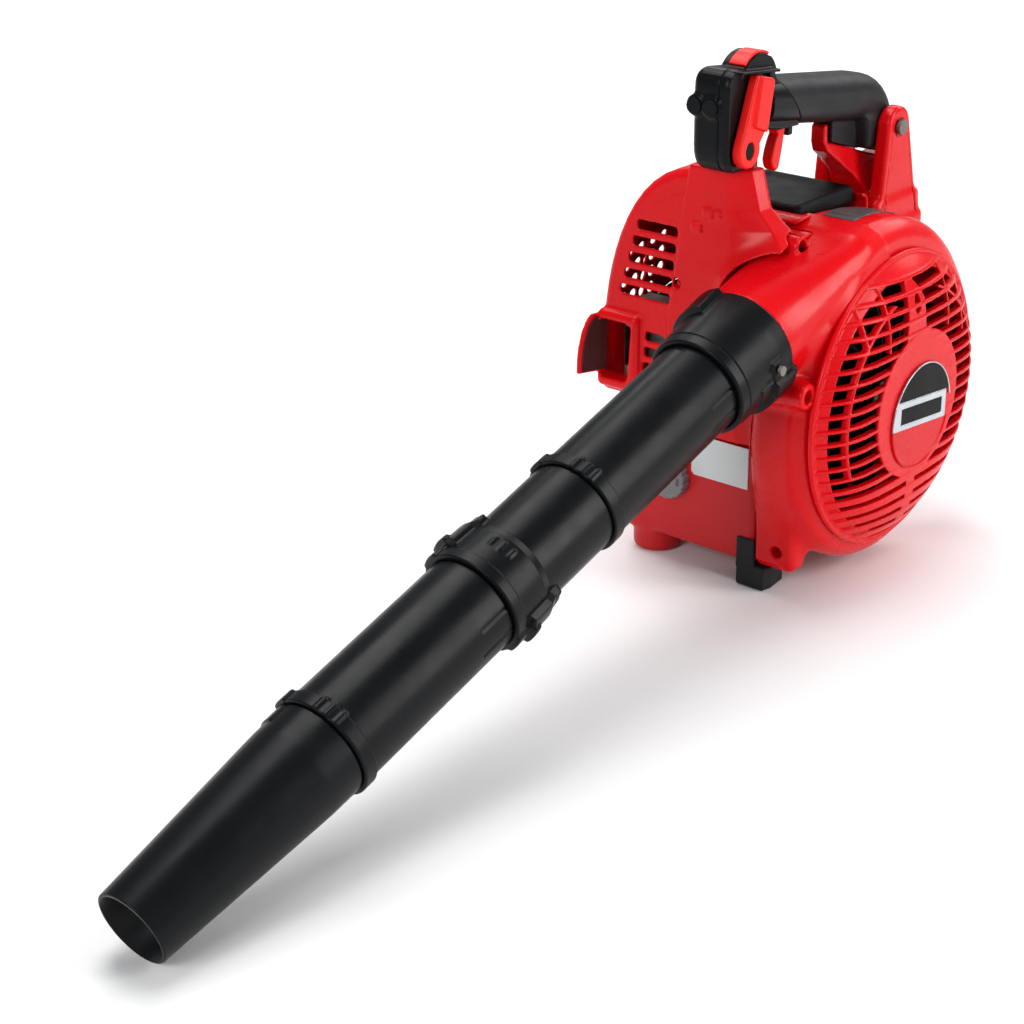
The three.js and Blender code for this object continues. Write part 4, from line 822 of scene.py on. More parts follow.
def vents(x, y, z):
    """Cooling slots at the front, holes on the left round the starter, and slots at the rear."""
    for i in range(5):
        middle = SLOT_TOP_Z - SLOT_PITCH * i
        low = (SLOTS_X[0] - 3.8 * i, FRONT_Y - 4, middle - SLOT_HALF)
        high = (SLOTS_X[1] - 1.4 * i, FRONT_Y + 9, middle + SLOT_HALF)
        yield block(x, y, z, low, high, radius=2)
    for i in range(3):
        middle = LOW_SLOT_TOP_Z - LOW_SLOT_PITCH * i
        low = (-158.5 - i, FRONT_Y - 4, middle - LOW_SLOT_HALF)
        yield block(x, y, z, low, (-141, FRONT_Y + 9, middle + LOW_SLOT_HALF), radius=1.6)
    for row, column in product(range(5), range(5)):
        hole_y = HOLE_FIRST[0] + HOLE_PITCH_Y * column
        hole_z = HOLE_FIRST[1] - SLOT_PITCH * row
        if math.hypot(hole_y, hole_z) > STARTER_CLEARANCE:
            yield rod_x(x, y, z, -215, -180, hole_y, hole_z, HOLE_RADIUS)
    for i in range(4):
        low = (-152 + REAR_SLOT_PITCH * i, COVER_REAR - 8, 98)
        yield block(x, y, z, low, (low[0] + REAR_SLOT_WIDTH, COVER_REAR + 8, 124), radius=2)


def engine_cover(x, y, z):
    """The hood over the engine: a hollow shell with the exhaust scoop, vents and openings."""
    solid = cover_solid(x, y, z, 0)
    room = cover_solid(x, y, z, WALL)
    solid = rounded(solid, COVER_BOTTOM - z, x + 58, radius=1)
    cover = union(np.maximum(solid, -room), scoop_frame(x, y, z), fillet=3)
    cover = cut(cover, scoop_mouth(x, y, z), fillet=1.5)
    cover = union(cover, scoop_blade(x, y, z), fillet=1.5)
    for vent in vents(x, y, z):
        cover = cut(cover, vent, fillet=1)
    openings = [
        rod_x(x, y, z, -240, -166, 0, 0, STARTER_ROOM),
        block(x, y, z, (-150, -33, 128), (-59, 46, 152), radius=7),
        block(x, y, z, (-146, 30, 12), (-84, 62, 84), radius=3),
        block(x, y, z, (-195, 30, 24), (-177, 62, 42), radius=2),
        rod_y(x, y, z, -157.5, 40, 60, -0.5, 10.8),
    ]
    cover = cut(cover, *openings, fillet=1)
    crease = np.abs(np.hypot(x - CREASE_MIDDLE[0], z - CREASE_MIDDLE[1]) - CREASE_RADIUS) - 0.5
    crease = np.maximum(crease, slab(y, FRONT_Y, FRONT_Y + 2.8))
    cover = cut(cover, np.maximum(crease, CREASE_LOW - z), fillet=0.6)
    cover = np.maximum(cover, GAP - post_column(x, y, z))
    return np.maximum(cover, GAP - volute_outside(x, y, z))


# ---- Handle ----

BLOCK_SIDE = (
    [(-75, POST_TOP + GAP), (-98, POST_TOP + GAP)]
    + curve((-98, POST_TOP + GAP), (-113.7, POST_TOP + GAP), (-113.7, 198), steps=6)
    + [(-113.7, 238)]
    + curve((-113.7, 238), (-113.7, 251), (-102, 251.5), steps=6)
    + [(-59, 246), (-58, 241.5), (-27, 203.5), (-24.5, 198.5), (-50, 200), (-69, 204), (-75, 200)]
)
LEDGE = [(-106, 249.6), (-106, 251.4), (-59, 246), (-59, 243.8)]
SPLIT_X = -84.0
BLOCK_REAR = -66.0
DOME_X = (-98, -77)
DOME_FOOT = 243.0
STRIP_X = (-92.0, -78.0)
STRIP_MIDDLE = 98.0
STRIP_HALF = 38.0


def dome_strip(x, y, z, inner, outer, spare, travel=0):
    """A strip that wraps over the dome, about its own middle angle, with room to rock."""
    r = np.hypot(y - DOME_Y, z - DOME_Z)
    turn = np.degrees(np.arctan2(z - DOME_Z, y - DOME_Y))
    off = (turn - STRIP_MIDDLE + 180) % 360 - 180
    ends = slab(off, -STRIP_HALF - travel, STRIP_HALF) * math.pi * DOME_RADIUS / 180 - spare
    return rounded(slab(r, inner, outer), slab(x, STRIP_X[0] - spare, STRIP_X[1] + spare), ends,
                   radius=0.5)


def beside_handle(x, half):
    """Two walls at equal distances from the handle's middle plane."""
    return np.abs(x - HANDLE_X) - half


GRIP_BEND = [
    (60, 221), *curve((60, 221), (92, 216), (103, 191), steps=7),
    (107, 158), (100, 153), (64, 164), (58, 185),
]
BAR_SIDE = [(-110, 245.9), *GRIP_BEND, (-110, 212.4)]
GRIP_SIDE = [(-54.8, 237.8), *GRIP_BEND, (-24.2, 198.4), (-26.6, 203.6)]
GRIP_REAR = [(62, 188), (96, 186), (104, 168), (106, 158), (100, 153), (64, 164)]
HEEL = [(28, 194), (66, 188), (66, 162.5), (28.5, 174.7)]
HEEL_HALF = 8.5


def bar(x, y, z):
    """The rounded hand bar, carried on through the block in front of it."""
    return rounded(polygon(y, z, BAR_SIDE), beside_handle(x, GRIP_HALF), radius=14)


def rear_bolt_room(x, y, z):
    return rod_x(x, y, z, -150, -30, REAR_BOLT_Y, REAR_BOLT_Z, 4.6)


def handle_block(x, y, z):
    """The block on the post that holds the lever, the trigger and the stop switch."""
    side = polygon(y, z, BLOCK_SIDE)
    shape = rounded(side, BLOCK_LEFT - x, radius=8)
    shape = rounded(shape, x - LEVER_WALL, radius=2.5)
    low_rear = rounded(side, beside_handle(x, 14), radius=2)
    rear = np.maximum(np.minimum(bar(x, y, z), low_rear), side)
    shape = union(shape, np.maximum(rear, BLOCK_REAR - y), fillet=2)
    ledge = rounded(polygon(y, z, LEDGE), slab(x, -84, LEDGE_RIGHT), radius=0.8)
    lip = np.maximum(np.abs(side + 1.6) - 1.1, slab(x, -80, LEVER_WALL + 1.9))
    lip = np.maximum(lip, y + 104)
    shape = union(shape, ledge, lip, fillet=1)
    for boss_x in SCREW_XS:
        boss = rod_y(x, y, z, boss_x, -115.4, -100, SCREW_Z, 7.6, edge=1.6)
        shape = union(shape, boss, fillet=3)
    dome = rounded(np.hypot(y - DOME_Y, z - DOME_Z) - DOME_RADIUS, slab(x, *DOME_X), DOME_FOOT - z,
                   radius=2)
    shape = union(shape, dome, fillet=1.2)
    split = np.maximum(np.abs(x - SPLIT_X) - 0.4, np.abs(shape) - 0.9)
    shape = cut(shape, np.maximum(split, y + 100), fillet=0.4)
    rooms = [
        dome_strip(x, y, z, DOME_RADIUS - 1.5, DOME_RADIUS + 6, 2 * GAP, travel=8),
        block(x, y, z, (HANDLE_X - 5.3, -60, 180), (HANDLE_X + 5.3, -20, 214), radius=1),
        rod_x(x, y, z, LEVER_WALL - 20, LEDGE_RIGHT, LEVER_Y, LEVER_Z, 5.2),
    ]
    return cut(shape, *rooms, fillet=0.5)


def grip(x, y, z):
    rear = rounded(polygon(y, z, GRIP_REAR), beside_handle(x, GRIP_HALF), radius=4)
    body = np.maximum(union(bar(x, y, z), rear, fillet=5), polygon(y, z, GRIP_SIDE))
    heel = rounded(polygon(y, z, HEEL), beside_handle(x, HEEL_HALF), radius=1)
    body = union(body, heel, fillet=1.5)
    tab = block(x, y, z, (HANDLE_X - 4, -24, 189), (HANDLE_X + 4, -18, 202), radius=1.5)
    body = union(body, tab, fillet=1)
    return cut(body, rear_bolt_room(x, y, z), fillet=1)


EAR = [
    *arc(REAR_BOLT_Y, REAR_BOLT_Z, 15.5, 8, 163, steps=12), (67, 124), (58, 108), (60, 92), (126, 92),
]
EAR_OUTSIDE = 31.0
CRADLE_HEIGHTS = [100, 126, 150, 176]
CRADLE_HALVES = [24, 17, 9.5, 6]
BRACKET_ROOT = [(60, 104), (60, 56), (98, 36), (124, 58), (126, 104)]
CRADLE = [
    (21.5, 186), (23, 188), (26.7, 187.5), (27.8, 174.2), (99, 150.5), (112, 152), (116, 108),
    (76, 104), (75, 117), (69, 131), (57, 144.5), (38, 158.5), (26, 167), (21.5, 175),
]


def rear_bracket(x, y, z):
    """Two ears and a cradle that hold the grip's rear end, on a foot beside the scroll."""
    side = GRIP_HALF + 0.8
    ear = polygon(y, z, EAR)
    ears = rounded(ear, slab(np.abs(x - HANDLE_X), side, EAR_OUTSIDE), radius=3)
    half = np.interp(z, CRADLE_HEIGHTS, CRADLE_HALVES)
    cradle = rounded(polygon(y, z, CRADLE), beside_handle(x, half), radius=1.6)
    foot = block(x, y, z, (HANDLE_X - EAR_OUTSIDE, 60, 92), (HANDLE_X + EAR_OUTSIDE, 126, 124), radius=5)
    root = rounded(polygon(y, z, BRACKET_ROOT), slab(x, -74, -55.5), radius=3)
    shape = union(union(ears, cradle, fillet=5), foot, root, fillet=7)
    groove_line = np.maximum(np.abs(ear + 5.5) - 0.6, slab(np.abs(x - HANDLE_X), 30.4, 33))
    shape = cut(shape, np.maximum(groove_line, z - 172), fillet=0.6)
    rooms = [np.maximum(polygon(y, z, outline) - GAP, beside_handle(x, side))
             for outline in (GRIP_SIDE, HEEL)]
    recess = rod_x(x, y, z, HANDLE_X + 29.5, -40, REAR_BOLT_Y, REAR_BOLT_Z, 7)
    shape = cut(shape, *rooms, rear_bolt_room(x, y, z), recess, fillet=0.8)
    shape = np.maximum(shape, GAP - volute_outside(x, y, z))
    return np.maximum(shape, GAP - cover_solid(x, y, z, 0))


LEVER_SIDE = [
    *arc(LEVER_Y, LEVER_Z, 12.5, 162, 375, steps=14), (-77.5, 204), (-70.5, 237),
    *curve((-70.5, 237), (-69.5, 241.5), (-73, 242.5), steps=4), (-88, 246.3), (-101, 211.5),
]
LEVER_BLADE = [(-92.5, 211), (-77, 205), (-70.5, 237), (-70.3, 240.5), (-73, 242.5), (-86, 245.8)]
LEVER_FACE = -69.0


def lever_oval(y, z):
    """Reach from the lever's pivot, measured in slightly narrow ovals."""
    return np.hypot((y - LEVER_Y) / 0.82, z - LEVER_Z) * 0.92


def throttle_lever(x, y, z):
    plate = rounded(polygon(y, z, LEVER_SIDE), slab(x, LEVER_WALL + 2 * GAP, LEVER_FACE), radius=1.5)
    blade = rounded(polygon(y, z, LEVER_BLADE), slab(x, LEVER_FACE - 3, LEVER_FACE + 2.5), radius=1.3)
    shape = union(plate, blade, fillet=1)
    recess = rounded(lever_oval(y, z) - 5.8, slab(x, LEVER_FACE - 2, LEVER_FACE + 9), radius=0.5)
    spindle = rod_x(x, y, z, LEVER_WALL - 18, LEVER_WALL + 2, LEVER_Y, LEVER_Z, 4)
    return np.minimum(cut(shape, recess, fillet=1), spindle)


def lever_plug(x, y, z):
    return rounded(lever_oval(y, z) - 5.3, slab(x, LEVER_FACE - 1.8, LEVER_FACE - 0.6), radius=0.3)


TRIGGER_PIN = (-46, 207)
TRIGGER_SIDE = (
    [(-51.5, 207)] + curve((-51.5, 207), (-51, 201), (-40, 198), steps=4) + [(-38, 193)]
    + curve((-38, 193), (-43, 186), (-45.4, 176), steps=5)
    + curve((-45.4, 176), (-45, 168), (-39, 166.3), steps=5)
    + curve((-39, 166.3), (-35, 166.5), (-34, 172), steps=5)
    + curve((-34, 172), (-31, 183), (-28.6, 197), steps=5)
    + [(-34, 203), (-40.5, 208)] + curve((-40.5, 208), (-46, 215), (-51.5, 207), steps=5)
)


def throttle_trigger(x, y, z):
    shape = rounded(polygon(y, z, TRIGGER_SIDE), beside_handle(x, 4.5), radius=1.8)
    return cut(shape, rod_x(x, y, z, -110, -60, *TRIGGER_PIN, 2.4), fillet=0.6)


def stop_switch(x, y, z):
    return dome_strip(x, y, z, DOME_RADIUS - 1, DOME_RADIUS + 0.9, 0)


# ---- Tank and feet ----

CAP_X = -129.0
CAP_Z = -65.0
CAP_RADIUS = 17.0
CAP_CROWN_RADIUS = 71.2
CAP_CROWN_DEPTH = 60.0
KNURLS = 18
TANK_LEFT = -176.0
TANK_RIGHT = -53.0
TANK_FOOT = (-156, -77)


def fuel_tank(x, y, z):
    """The tank: high at the front, low under the engine, with a foot and the filler's neck."""
    corner = (TANK_LEFT, FRONT_Y, TANK_BOTTOM)
    tall = block(x, y, z, corner, (TANK_RIGHT, -58, TANK_TOP), radius=5)
    low = block(x, y, z, corner, (TANK_RIGHT, 55, -56), radius=5)
    tank = union(tall, low, fillet=4)
    foot = rod_z(x, y, z, *TANK_FOOT, FLOOR_Z, TANK_BOTTOM + 8, 18.6, edge=5)
    tank = union(tank, foot, fillet=6)
    neck = rod_y(x, y, z, CAP_X, FRONT_Y - 3, FRONT_Y + 4, CAP_Z, 13.5, edge=0.6)
    tank = union(tank, neck, fillet=1)
    filler = rod_y(x, y, z, CAP_X, FRONT_Y - 4, FRONT_Y + 5, CAP_Z, 11.6)
    plate = rod_x(x, y, z, -56, -40, 0, 0, 61)
    seam = np.maximum(np.abs(y + 34) - 0.6, np.abs(tank) - 0.8)
    return cut(tank, filler, plate, seam, fillet=0.6)


def fuel_cap(x, y, z):
    """A knurled cap with a slightly domed face and a grip bar across it."""
    face = FRONT_Y - GAP
    r = np.hypot(x - CAP_X, z - CAP_Z)
    turn = np.arctan2(z - CAP_Z, x - CAP_X)
    knurl = 0.7 * smooth_step(np.cos(KNURLS * turn), 0.2, 0.8)
    shell = rounded(r - CAP_RADIUS + knurl, slab(y, face - 10, face), radius=2)
    crown = np.hypot(r, y - face - CAP_CROWN_DEPTH) - CAP_CROWN_RADIUS
    shell = np.maximum(shell, crown)
    wing = block(x, y, z, (CAP_X - 13, face - 13, CAP_Z - 3.2), (CAP_X + 13, face - 6, CAP_Z + 3.2),
                 radius=1.6)
    skirt = rod_y(x, y, z, CAP_X, face - 2.6, face + 2, CAP_Z, 14.2)
    plug = rod_y(x, y, z, CAP_X, FRONT_Y - 5, FRONT_Y + 6, CAP_Z, 11)
    return np.minimum(cut(union(shell, wing, fillet=1.5), skirt), plug)


SOLE = [(-66, -99), (-42, -99), (-40, -90), (-42, -72), (-66, -72)]


def foot_front_right(x, y, z):
    sole = rounded(polygon(x, y, SOLE), slab(z, FLOOR_Z, TANK_BOTTOM - GAP), radius=2.5)
    flap = block(x, y, z, (-67, -99, -122), (-51, FRONT_Y - GAP, -98), radius=1.2)
    shape = union(sole, flap, fillet=2)
    return np.maximum(shape, GAP - volute_outside(x, y, z))


def top_shroud(x, y, z):
    plate = block(x, y, z, (-149.5, -32.5, 126), (-66, 45.5, 141), radius=6)
    dish = block(x, y, z, (-142, -26, 138), (-73, 39, 160), radius=6)
    return np.maximum(cut(plate, dish, fillet=3), GAP - volute_outside(x, y, z))


# ---- Blow tube ----

TUBE_SEGMENTS = 240
TURN = np.arange(TUBE_SEGMENTS) * 360 / TUBE_SEGMENTS


PAD_EDGE = 1.4
RIB_ANGLES = (12, 24, 36)
LEAST_SPACING = 0.12
THIN_PIPE_RADIUS = 33.4
LOWER_RADIUS = 33.8


def pad(along, turn, start, end, angle, half_width, height, edge=PAD_EDGE, slant=0.0):
    """A raised pad on a pipe, between two distances and about an angle."""
    off = (turn - angle + 180) % 360 - 180
    across = half_width - np.abs(off) * math.pi * PIPE_RADIUS / 180
    begin = start + slant * off
    lift = smooth_step(along - begin, 0, edge) * smooth_step(end - along, 0, edge)
    return height * lift * smooth_step(across, 0, edge)


def pads(along, turn, *rows):
    """Pads and, with a height below nought, grooves: each row is what pad() takes."""
    return sum(pad(along, turn, *row) for row in rows)


def pipe_rows(marks, spacing=1.6, close=0.35, reach=1.8):
    """Distances along a pipe, closer together near its marks."""
    first, last = min(marks), max(marks)
    fine = [m + k * close for m in marks for k in range(-int(reach / close), int(reach / close) + 1)]
    rows = np.concatenate([np.arange(first, last, spacing), fine, [first, last]])
    rows = np.unique(np.round(rows[(rows >= first) & (rows <= last)], 3))
    keep = np.concatenate([[True], np.diff(rows) > LEAST_SPACING])
    keep[-1] = True
    return rows[keep]


def pipe_piece(name, marks, outside, bore, body, replaced):
    """A pipe: outside(along, turn) gives its radius, and bore a list of (distance, radius)."""
    rows = pipe_rows(marks)
    along = np.repeat(rows[:, None], TUBE_SEGMENTS, axis=1)
    turn = np.broadcast_to(TURN, along.shape)
    radius = outside(along, turn)
    inner_along, inner_radius = (
        np.repeat(column[:, None], TUBE_SEGMENTS, axis=1) for column in np.array(bore[::-1], float).T
    )
    along = np.concatenate([along, inner_along])
    radius = np.concatenate([radius, inner_radius])
    angle = np.radians(np.broadcast_to(TURN, along.shape))
    up = radius * np.cos(angle)
    points = np.stack([
        TUBE_X + radius * np.sin(angle),
        -along * math.cos(TUBE_TILT) - up * math.sin(TUBE_TILT),
        TUBE_Z - along * math.sin(TUBE_TILT) + up * math.cos(TUBE_TILT),
    ], axis=-1)
    count = len(along)
    i, j = np.meshgrid(np.arange(count), np.arange(TUBE_SEGMENTS), indexing="ij")
    after_i, after_j = (i + 1) % count, (j + 1) % TUBE_SEGMENTS
    quads = np.stack([
        i * TUBE_SEGMENTS + j, after_i * TUBE_SEGMENTS + j,
        after_i * TUBE_SEGMENTS + after_j, i * TUBE_SEGMENTS + after_j,
    ], axis=-1).reshape(-1, 4)
    mesh_piece(name, points.reshape(-1, 3), quads, body, BLACK, replaced)


def soft_ends(along, start, end, radius=1.2):
    """How much a round edge takes off near a pipe piece's two ends."""
    near = np.minimum(along - start, end - along)
    t = np.clip(1 - near / radius, 0, 1)
    return radius * (1 - np.sqrt(1 - t * t))


def collar_outside(along, turn):
    """The collar that holds the blow tube: two slanting ramps, lugs and a fine ring groove."""
    start = NECK_END + GAP
    radius = np.interp(along, [start, NECK_END + 12, COLLAR_END - 10, COLLAR_END],
                       [41.2, 41, 39.4, 38.4])
    radius = radius + pads(
        along, turn,
        (start, NECK_END + 27, -48, 19, 4.2, PAD_EDGE, -0.18),
        (start, NECK_END + 27, 132, 19, 4.2, PAD_EDGE, 0.18),
        (NECK_END + 4, NECK_END + 40, 108, 6, 1.6),
        (NECK_END + 13, NECK_END + 26, 90, 6.5, 1.8),
        (COLLAR_END - 9.4, COLLAR_END - 8.2, 0, 400, -0.6, 0.3),
    )
    return radius - soft_ends(along, start, COLLAR_END, 1.6)


def long_grooves(along, turn, start, face):
    """Two fine grooves that run on from the face of the joint behind them."""
    ends = ((face + 26, 74), (face + 30, 102))
    return pads(along, turn, *[(start, end, angle, 1.3, -0.9, 0.5) for end, angle in ends])


def end_ring(along, turn, end, pipe_radius):
    """The raised ring at a pipe's end, with its ribs and its lug."""
    start = end - RING_LENGTH
    lift = (RING_RADIUS - pipe_radius) * smooth_step(along, start, start + PAD_EDGE)
    ribs = [(start - 2, end + 1, angle, 1.9, 1.0, 0.7) for angle in RIB_ANGLES]
    return lift + pads(along, turn, *ribs, (start, end + 2, -45, 8, 1.4))


def upper_outside(along, turn):
    radius = PIPE_RADIUS + end_ring(along, turn, UPPER_END, PIPE_RADIUS)
    radius = radius + long_grooves(along, turn, COLLAR_END - 8, COLLAR_END)
    return radius - soft_ends(along, SOCKET_START + 1, UPPER_END)


def coupling_outside(along, turn):
    """A thinner pipe that widens into a bayonet socket with two slanting ramps."""
    start, end = UPPER_END - SPIGOT_LENGTH, COUPLING_END
    radius = np.interp(
        along, [start, UPPER_END + GAP, UPPER_END + 0.8, end - 38, end - 32, end],
        [SPIGOT_RADIUS, SPIGOT_RADIUS, THIN_PIPE_RADIUS, THIN_PIPE_RADIUS, 35.6, 36.8])
    radius = radius + 0.8 * smooth_step(along, end - 9, end - 8.2)
    for angle, slant in ((-50, -0.16), (130, 0.16)):
        radius = radius + pads(along, turn, (end - 42, end - 13, angle, 16, 4.6, PAD_EDGE, slant),
                               (end - 20, end, angle, 9, 2))
    ribs = [(end - 30, end - 20, angle, 1.9, 0.9) for angle in RIB_ANGLES]
    return radius + pads(along, turn, *ribs) - soft_ends(along, start, end)


def lower_outside(along, turn):
    start, face = COUPLING_END - SPIGOT_LENGTH, COUPLING_END
    radius = np.interp(along, [start, face + GAP, face + 0.8, LOWER_END],
                       [SPIGOT_RADIUS, SPIGOT_RADIUS, LOWER_RADIUS, LOWER_RADIUS])
    radius = radius + end_ring(along, turn, LOWER_END, LOWER_RADIUS)
    radius = radius + long_grooves(along, turn, face + 0.6, face)
    return radius - soft_ends(along, start, LOWER_END)


def nozzle_outside(along, turn):
    start, face = LOWER_END - SPIGOT_LENGTH, LOWER_END
    radius = np.interp(
        along, [start, face + GAP, face + 0.8, face + 24, face + 34, NOZZLE_TIP],
        [SPIGOT_RADIUS, SPIGOT_RADIUS, THIN_PIPE_RADIUS, 33.1, 32.6, TIP_RADIUS])
    radius = radius + pad(along, turn, face + 1, face + 16, -45, 10, 1.2)
    return radius - soft_ends(along, start, NOZZLE_TIP, 0.8)


def blow_tube():
    """The collar and the four pipes, from the scroll to the nozzle's tip."""
    start = NECK_END + GAP
    marks = [start, NECK_END + 4, NECK_END + 13, NECK_END + 27, NECK_END + 40, COLLAR_END - 8.8,
             COLLAR_END]
    socket = PIPE_RADIUS + GAP
    bore = [(start, 32), (SOCKET_START - 4, 32), (SOCKET_START, socket), (COLLAR_END, socket)]
    pipe_piece("outlet_collar_shell", marks, collar_outside, bore, "housing", ["outlet_collar"])

    start, end = SOCKET_START + 1, UPPER_END
    marks = [start, COLLAR_END + 26, COLLAR_END + 30, end - RING_LENGTH, end]
    bore = [(start, BORE_RADIUS), (end, BORE_RADIUS)]
    pipe_piece("upper_pipe_shell", marks, upper_outside, bore, "upper_tube", ["upper_pipe"])

    start, face, end = UPPER_END - SPIGOT_LENGTH, UPPER_END, COUPLING_END
    marks = [start, face + GAP, end - 38, end - 31, end - 13, end - 9, end]
    bore = [(start, SPIGOT_BORE), (face, SPIGOT_BORE), (face + 6, BORE_RADIUS), (end, BORE_RADIUS)]
    pipe_piece("pipe_coupling_shell", marks, coupling_outside, bore, "upper_tube", ["pipe_coupling"])

    start, face, end = COUPLING_END - SPIGOT_LENGTH, COUPLING_END, LOWER_END
    marks = [start, face + GAP, face + 26, face + 30, end - RING_LENGTH, end]
    bore = [(start, SPIGOT_BORE), (face, SPIGOT_BORE), (face + 6, BORE_RADIUS), (end, BORE_RADIUS)]
    pipe_piece("lower_pipe_shell", marks, lower_outside, bore, "lower_tube", ["lower_pipe"])

    start, face, end = LOWER_END - SPIGOT_LENGTH, LOWER_END, NOZZLE_TIP
    marks = [start, face + GAP, face + 16, face + 34, end]
    bore = [(start, SPIGOT_BORE), (face + 8, SPIGOT_BORE), (end, TIP_RADIUS - 2.2)]
    pipe_piece("nozzle_shell", marks, nozzle_outside, bore, "lower_tube", ["nozzle"])


# ---- Moulded pieces ----

def shells():
    """The moulded pieces that stay still; large ones get a coarser mesh."""
    coarse = 1.4
    fine = 0.8
    field_piece("volute_shell", volute, (-84, -172, -132), (1, 132, 142), coarse, RED,
                ["volute_housing"])
    field_piece("fan_cover_shell", fan_cover, (-1, -113, -113), (25, 113, 113), fine, RED,
                ["fan_cover"])
    field_piece("front_post_shell", front_post, (-142, -114, -27), (-18, -42, 186), coarse * 0.8,
                RED, ["front_post"])
    field_piece("engine_cover_shell", engine_cover, (-212, -122, -13), (-56, 52, 176), coarse, RED,
                ["engine_cover"])
    # The deflector's inner face gets a dark sheet: painted shade.
    field_piece("scoop_painted_shade_sheet", scoop_painted_shade, (-209, -119, -4), (-194, -89, 50), 0.5, PAINTED_SHADE_RED)
    field_piece("handle_block_shell", handle_block, (-109, -116, 177), (-68, -23, 262), fine, BLACK,
                ["handle_block"])
    field_piece("grip_shell", grip, (-108, -57, 151), (-68, 109, 240), fine * 1.1, GRIP, ["grip"])
    field_piece("rear_bracket_shell", rear_bracket, (-122, 12, 34), (-54, 128, 196), coarse * 0.8,
                RED, ["rear_bracket"])
    field_piece("top_shroud_plate", top_shroud, (-152, -34, 124), (-64, 47, 143), 1.2, BLACK_DARK,
                ["top_shroud"])
    field_piece("fuel_tank_shell", fuel_tank, (-178, -100, -138), (-51, 57, -24), coarse * 1.1,
                TANK_RED, ["fuel_tank"])
    field_piece("foot_front_right_pad", foot_front_right, (-68, -100, -138), (-38, -70, -96), 0.9,
                RUBBER, ["foot_front_right"])


def controls():
    """The moulded pieces that move."""
    field_piece("fuel_cap_knob", fuel_cap, (-147, -111, -83), (-111, -89, -47), 0.6, GREY,
                ["fuel_cap"], "tank_cap")
    field_piece("throttle_lever_arm", throttle_lever, (-97, -109, 180), (-65, -68, 248), 0.6,
                SIGNAL_RED, ["throttle_lever"], "speed_lever")
    field_piece("lever_plug", lever_plug, (-72, -102, 187), (-69, -88, 202), 0.5, BLACK_DARK,
                body="speed_lever")
    field_piece("trigger_blade", throttle_trigger, (-93, -53, 165), (-83, -27, 213), 0.5,
                SIGNAL_RED, ["throttle_trigger"], "trigger")
    field_piece("stop_switch_strip", stop_switch, (-93, -94, 250), (-77, -60, 262), 0.45,
                SIGNAL_RED, ["stop_switch"], "switch")


def labels():
    field_piece("scroll_label", scroll_label, (-57, -24, 110), (-26, 44, 141), 0.6, GREY_LABEL)
    box = ((21, -37, -54), (26, 49, 32))
    step = 0.5
    field_piece("badge_top", badge_black, *box, step, BADGE_BLACK, ["badge_plate"])
    field_piece("badge_bottom", badge_red, *box, step, BADGE_RED)
    field_piece("badge_band", badge_band, *box, step, SILVER)
    field_piece("badge_panel", badge_panel, *box, step, BADGE_BLACK)


# ---- CAD nodes that stay ----

KEPT = (
    (BLACK, "block_screw_1 block_screw_2 filter_base filter_cover filter_knob starter_housing "
            "starter_handle"),
    (BLACK_DARK, "volute_backplate impeller ignition_coil starter_reel"),
    (STEEL, "fan_nut trigger_pin piston_pin connecting_rod crankshaft rear_shaft recoil_spring "
            "starter_cup"),
    (DARK_STEEL, "collar_screw rear_bolt muffler"),
    (ALUMINIUM, "crankcase cylinder_block piston flywheel carburettor"),
    (RUBBER, "foot_rear_left foot_rear_right plug_cap"),
    (GREY, "choke_lever primer_bulb"),
    (CERAMIC, "spark_plug"),
    (FOAM, "air_filter"),
    (ROPE, "starter_rope"),
    (FOIL, "tank_label"),
)
EDGE_WIDTH = 0.5 * MM
EDGE_ANGLE = math.radians(28)


def finish_node(name, slot, material):
    """Gives a CAD node its material and softly rounded edges."""
    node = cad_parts[name]
    node.data.materials.clear()
    node.data.materials.append(material)
    for face in node.data.polygons:
        face.use_smooth = True
        face.material_index = 0
    bevel = node.modifiers.new("rounded_edges", "BEVEL")
    bevel.width = EDGE_WIDTH
    bevel.segments = 2
    bevel.limit_method = "ANGLE"
    bevel.angle_limit = EDGE_ANGLE
    bevel.harden_normals = True


def finish_kept_nodes():
    for look, names in KEPT:
        for name in names.split():
            finish_node(name, *look)


# ---- Stage ----

FLOOR_HALF = 30.0
WORLD_STRENGTH = 0.3
LAMPS = (
    ("front_softbox", (0.1, -2.6, 1.5), (0, -0.1, 0.2), 1.2, 1.0, 37),
    ("side_strip", (2.05, 1.05, 0.95), (0, -0.25, 0.15), 0.7, 1.5, 36),
    ("top_softbox", (-0.7, 0.3, 2.6), (0, -0.1, 0.1), 1.2, 2.0, 48),
    ("back_softbox", (0.4, 2.4, 1.6), (0, 0, 0.2), 1.6, 1.2, 20),
    ("far_floor_light", (-2.2, 3.2, 2.4), (-2.6, 3.6, 0), 3.0, 2.0, 90),
)


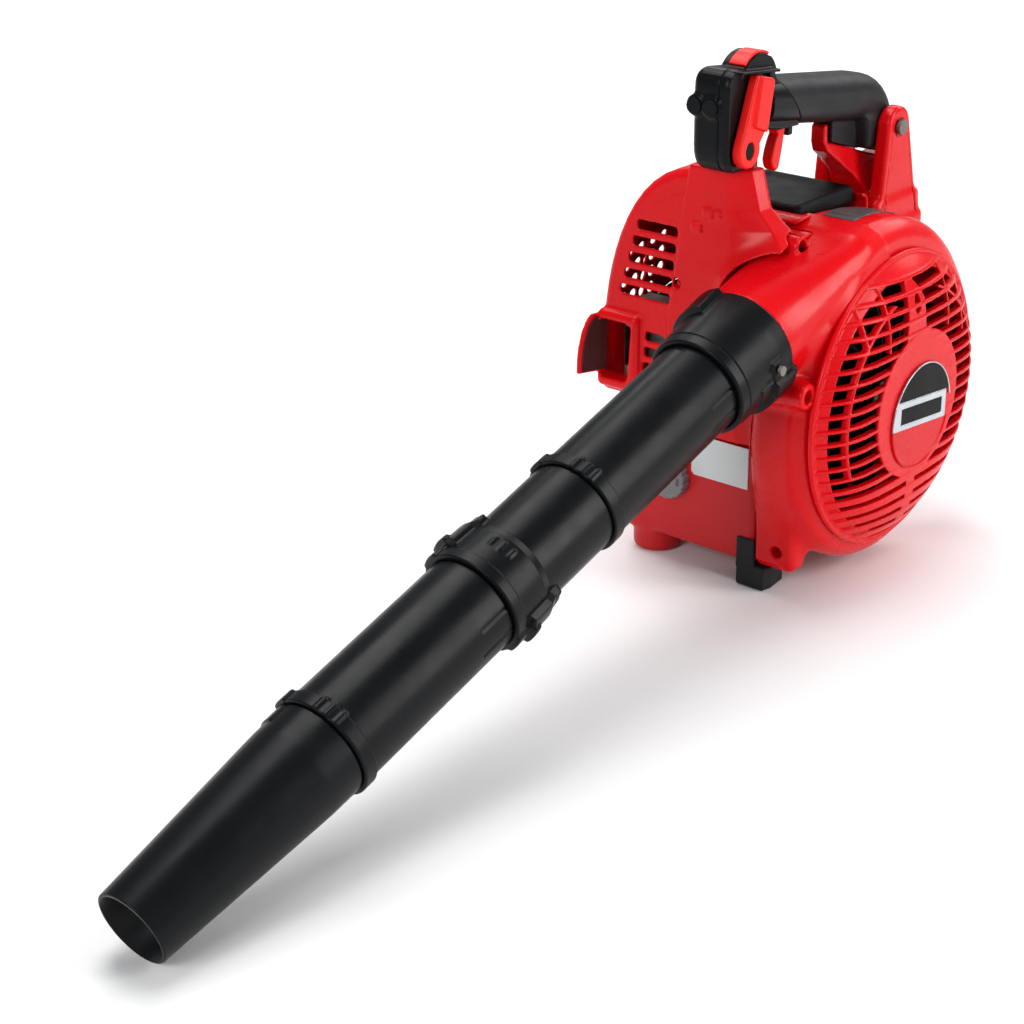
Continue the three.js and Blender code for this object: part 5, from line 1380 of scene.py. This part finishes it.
def stage():
    """A plain pale floor under the machine."""
    size = FLOOR_HALF
    mesh = bpy.data.meshes.new("studio_floor")
    corners = [(-size, -size, 0), (size, -size, 0), (size, size, 0), (-size, size, 0)]
    mesh.from_pydata(corners, [], [(0, 1, 2, 3)])
    floor = add_object("studio_floor", mesh)
    floor.location.z = cad_box[0][2]
    material, nodes, links, shader = new_material("pale_floor")
    where = nodes.new("ShaderNodeTexCoord")
    cloud = noise(nodes, links, 0.7, 2, where)
    tinted(nodes, links, cloud, (0.86, 0.86, 0.86), (0.88, 0.88, 0.88), shader.inputs["Base Color"])
    set_inputs(shader, Roughness=0.7)
    mesh.materials.append(material)


def lamp(name, stands_at, target, width, height, power):
    """A rectangular softbox aimed at a point."""
    light = bpy.data.lights.new(name, "AREA")
    light.shape = "RECTANGLE"
    light.size = width
    light.size_y = height
    light.energy = power
    holder = add_object(name, light)
    holder.location = stands_at
    aim = Vector(target) - Vector(stands_at)
    holder.rotation_euler = aim.to_track_quat("-Z", "Y").to_euler()


def lights():
    for row in LAMPS:
        lamp(*row)
    world = bpy.data.worlds.new("studio_world")
    world.use_nodes = True
    set_inputs(world.node_tree.nodes["Background"], Color=(0.95, 0.97, 1, 1), Strength=WORLD_STRENGTH)
    bpy.context.scene.world = world
    bpy.context.scene.view_settings.view_transform = "Standard"


# ---- Camera ----

CAMERA_AT = (749.0, -1319.2, 575.2)
AZIMUTH = math.radians(40.34)
ELEVATION = math.radians(24.07)
ROLL = math.radians(-0.68)
FOCAL_LENGTH = 75.27
SENSOR_WIDTH = 36


def camera():
    """Looks down on the machine from its front right."""
    back = Vector((math.sin(AZIMUTH) * math.cos(ELEVATION), -math.cos(AZIMUTH) * math.cos(ELEVATION),
                   math.sin(ELEVATION)))
    level = Vector((math.cos(AZIMUTH), math.sin(AZIMUTH), 0))
    over = back.cross(level)
    right = math.cos(ROLL) * level + math.sin(ROLL) * over
    up = -math.sin(ROLL) * level + math.cos(ROLL) * over
    lens = bpy.data.cameras.new("camera")
    lens.lens = FOCAL_LENGTH
    lens.sensor_width = SENSOR_WIDTH
    lens.clip_end = 20
    holder = add_object("camera", lens)
    turn = Matrix((right, up, back)).transposed()
    holder.matrix_world = Matrix.Translation(place(*CAMERA_AT)) @ turn.to_4x4()
    bpy.context.scene.camera = holder


camera()
stage()
lights()
finish_kept_nodes()
blow_tube()
shells()
controls()
labels()
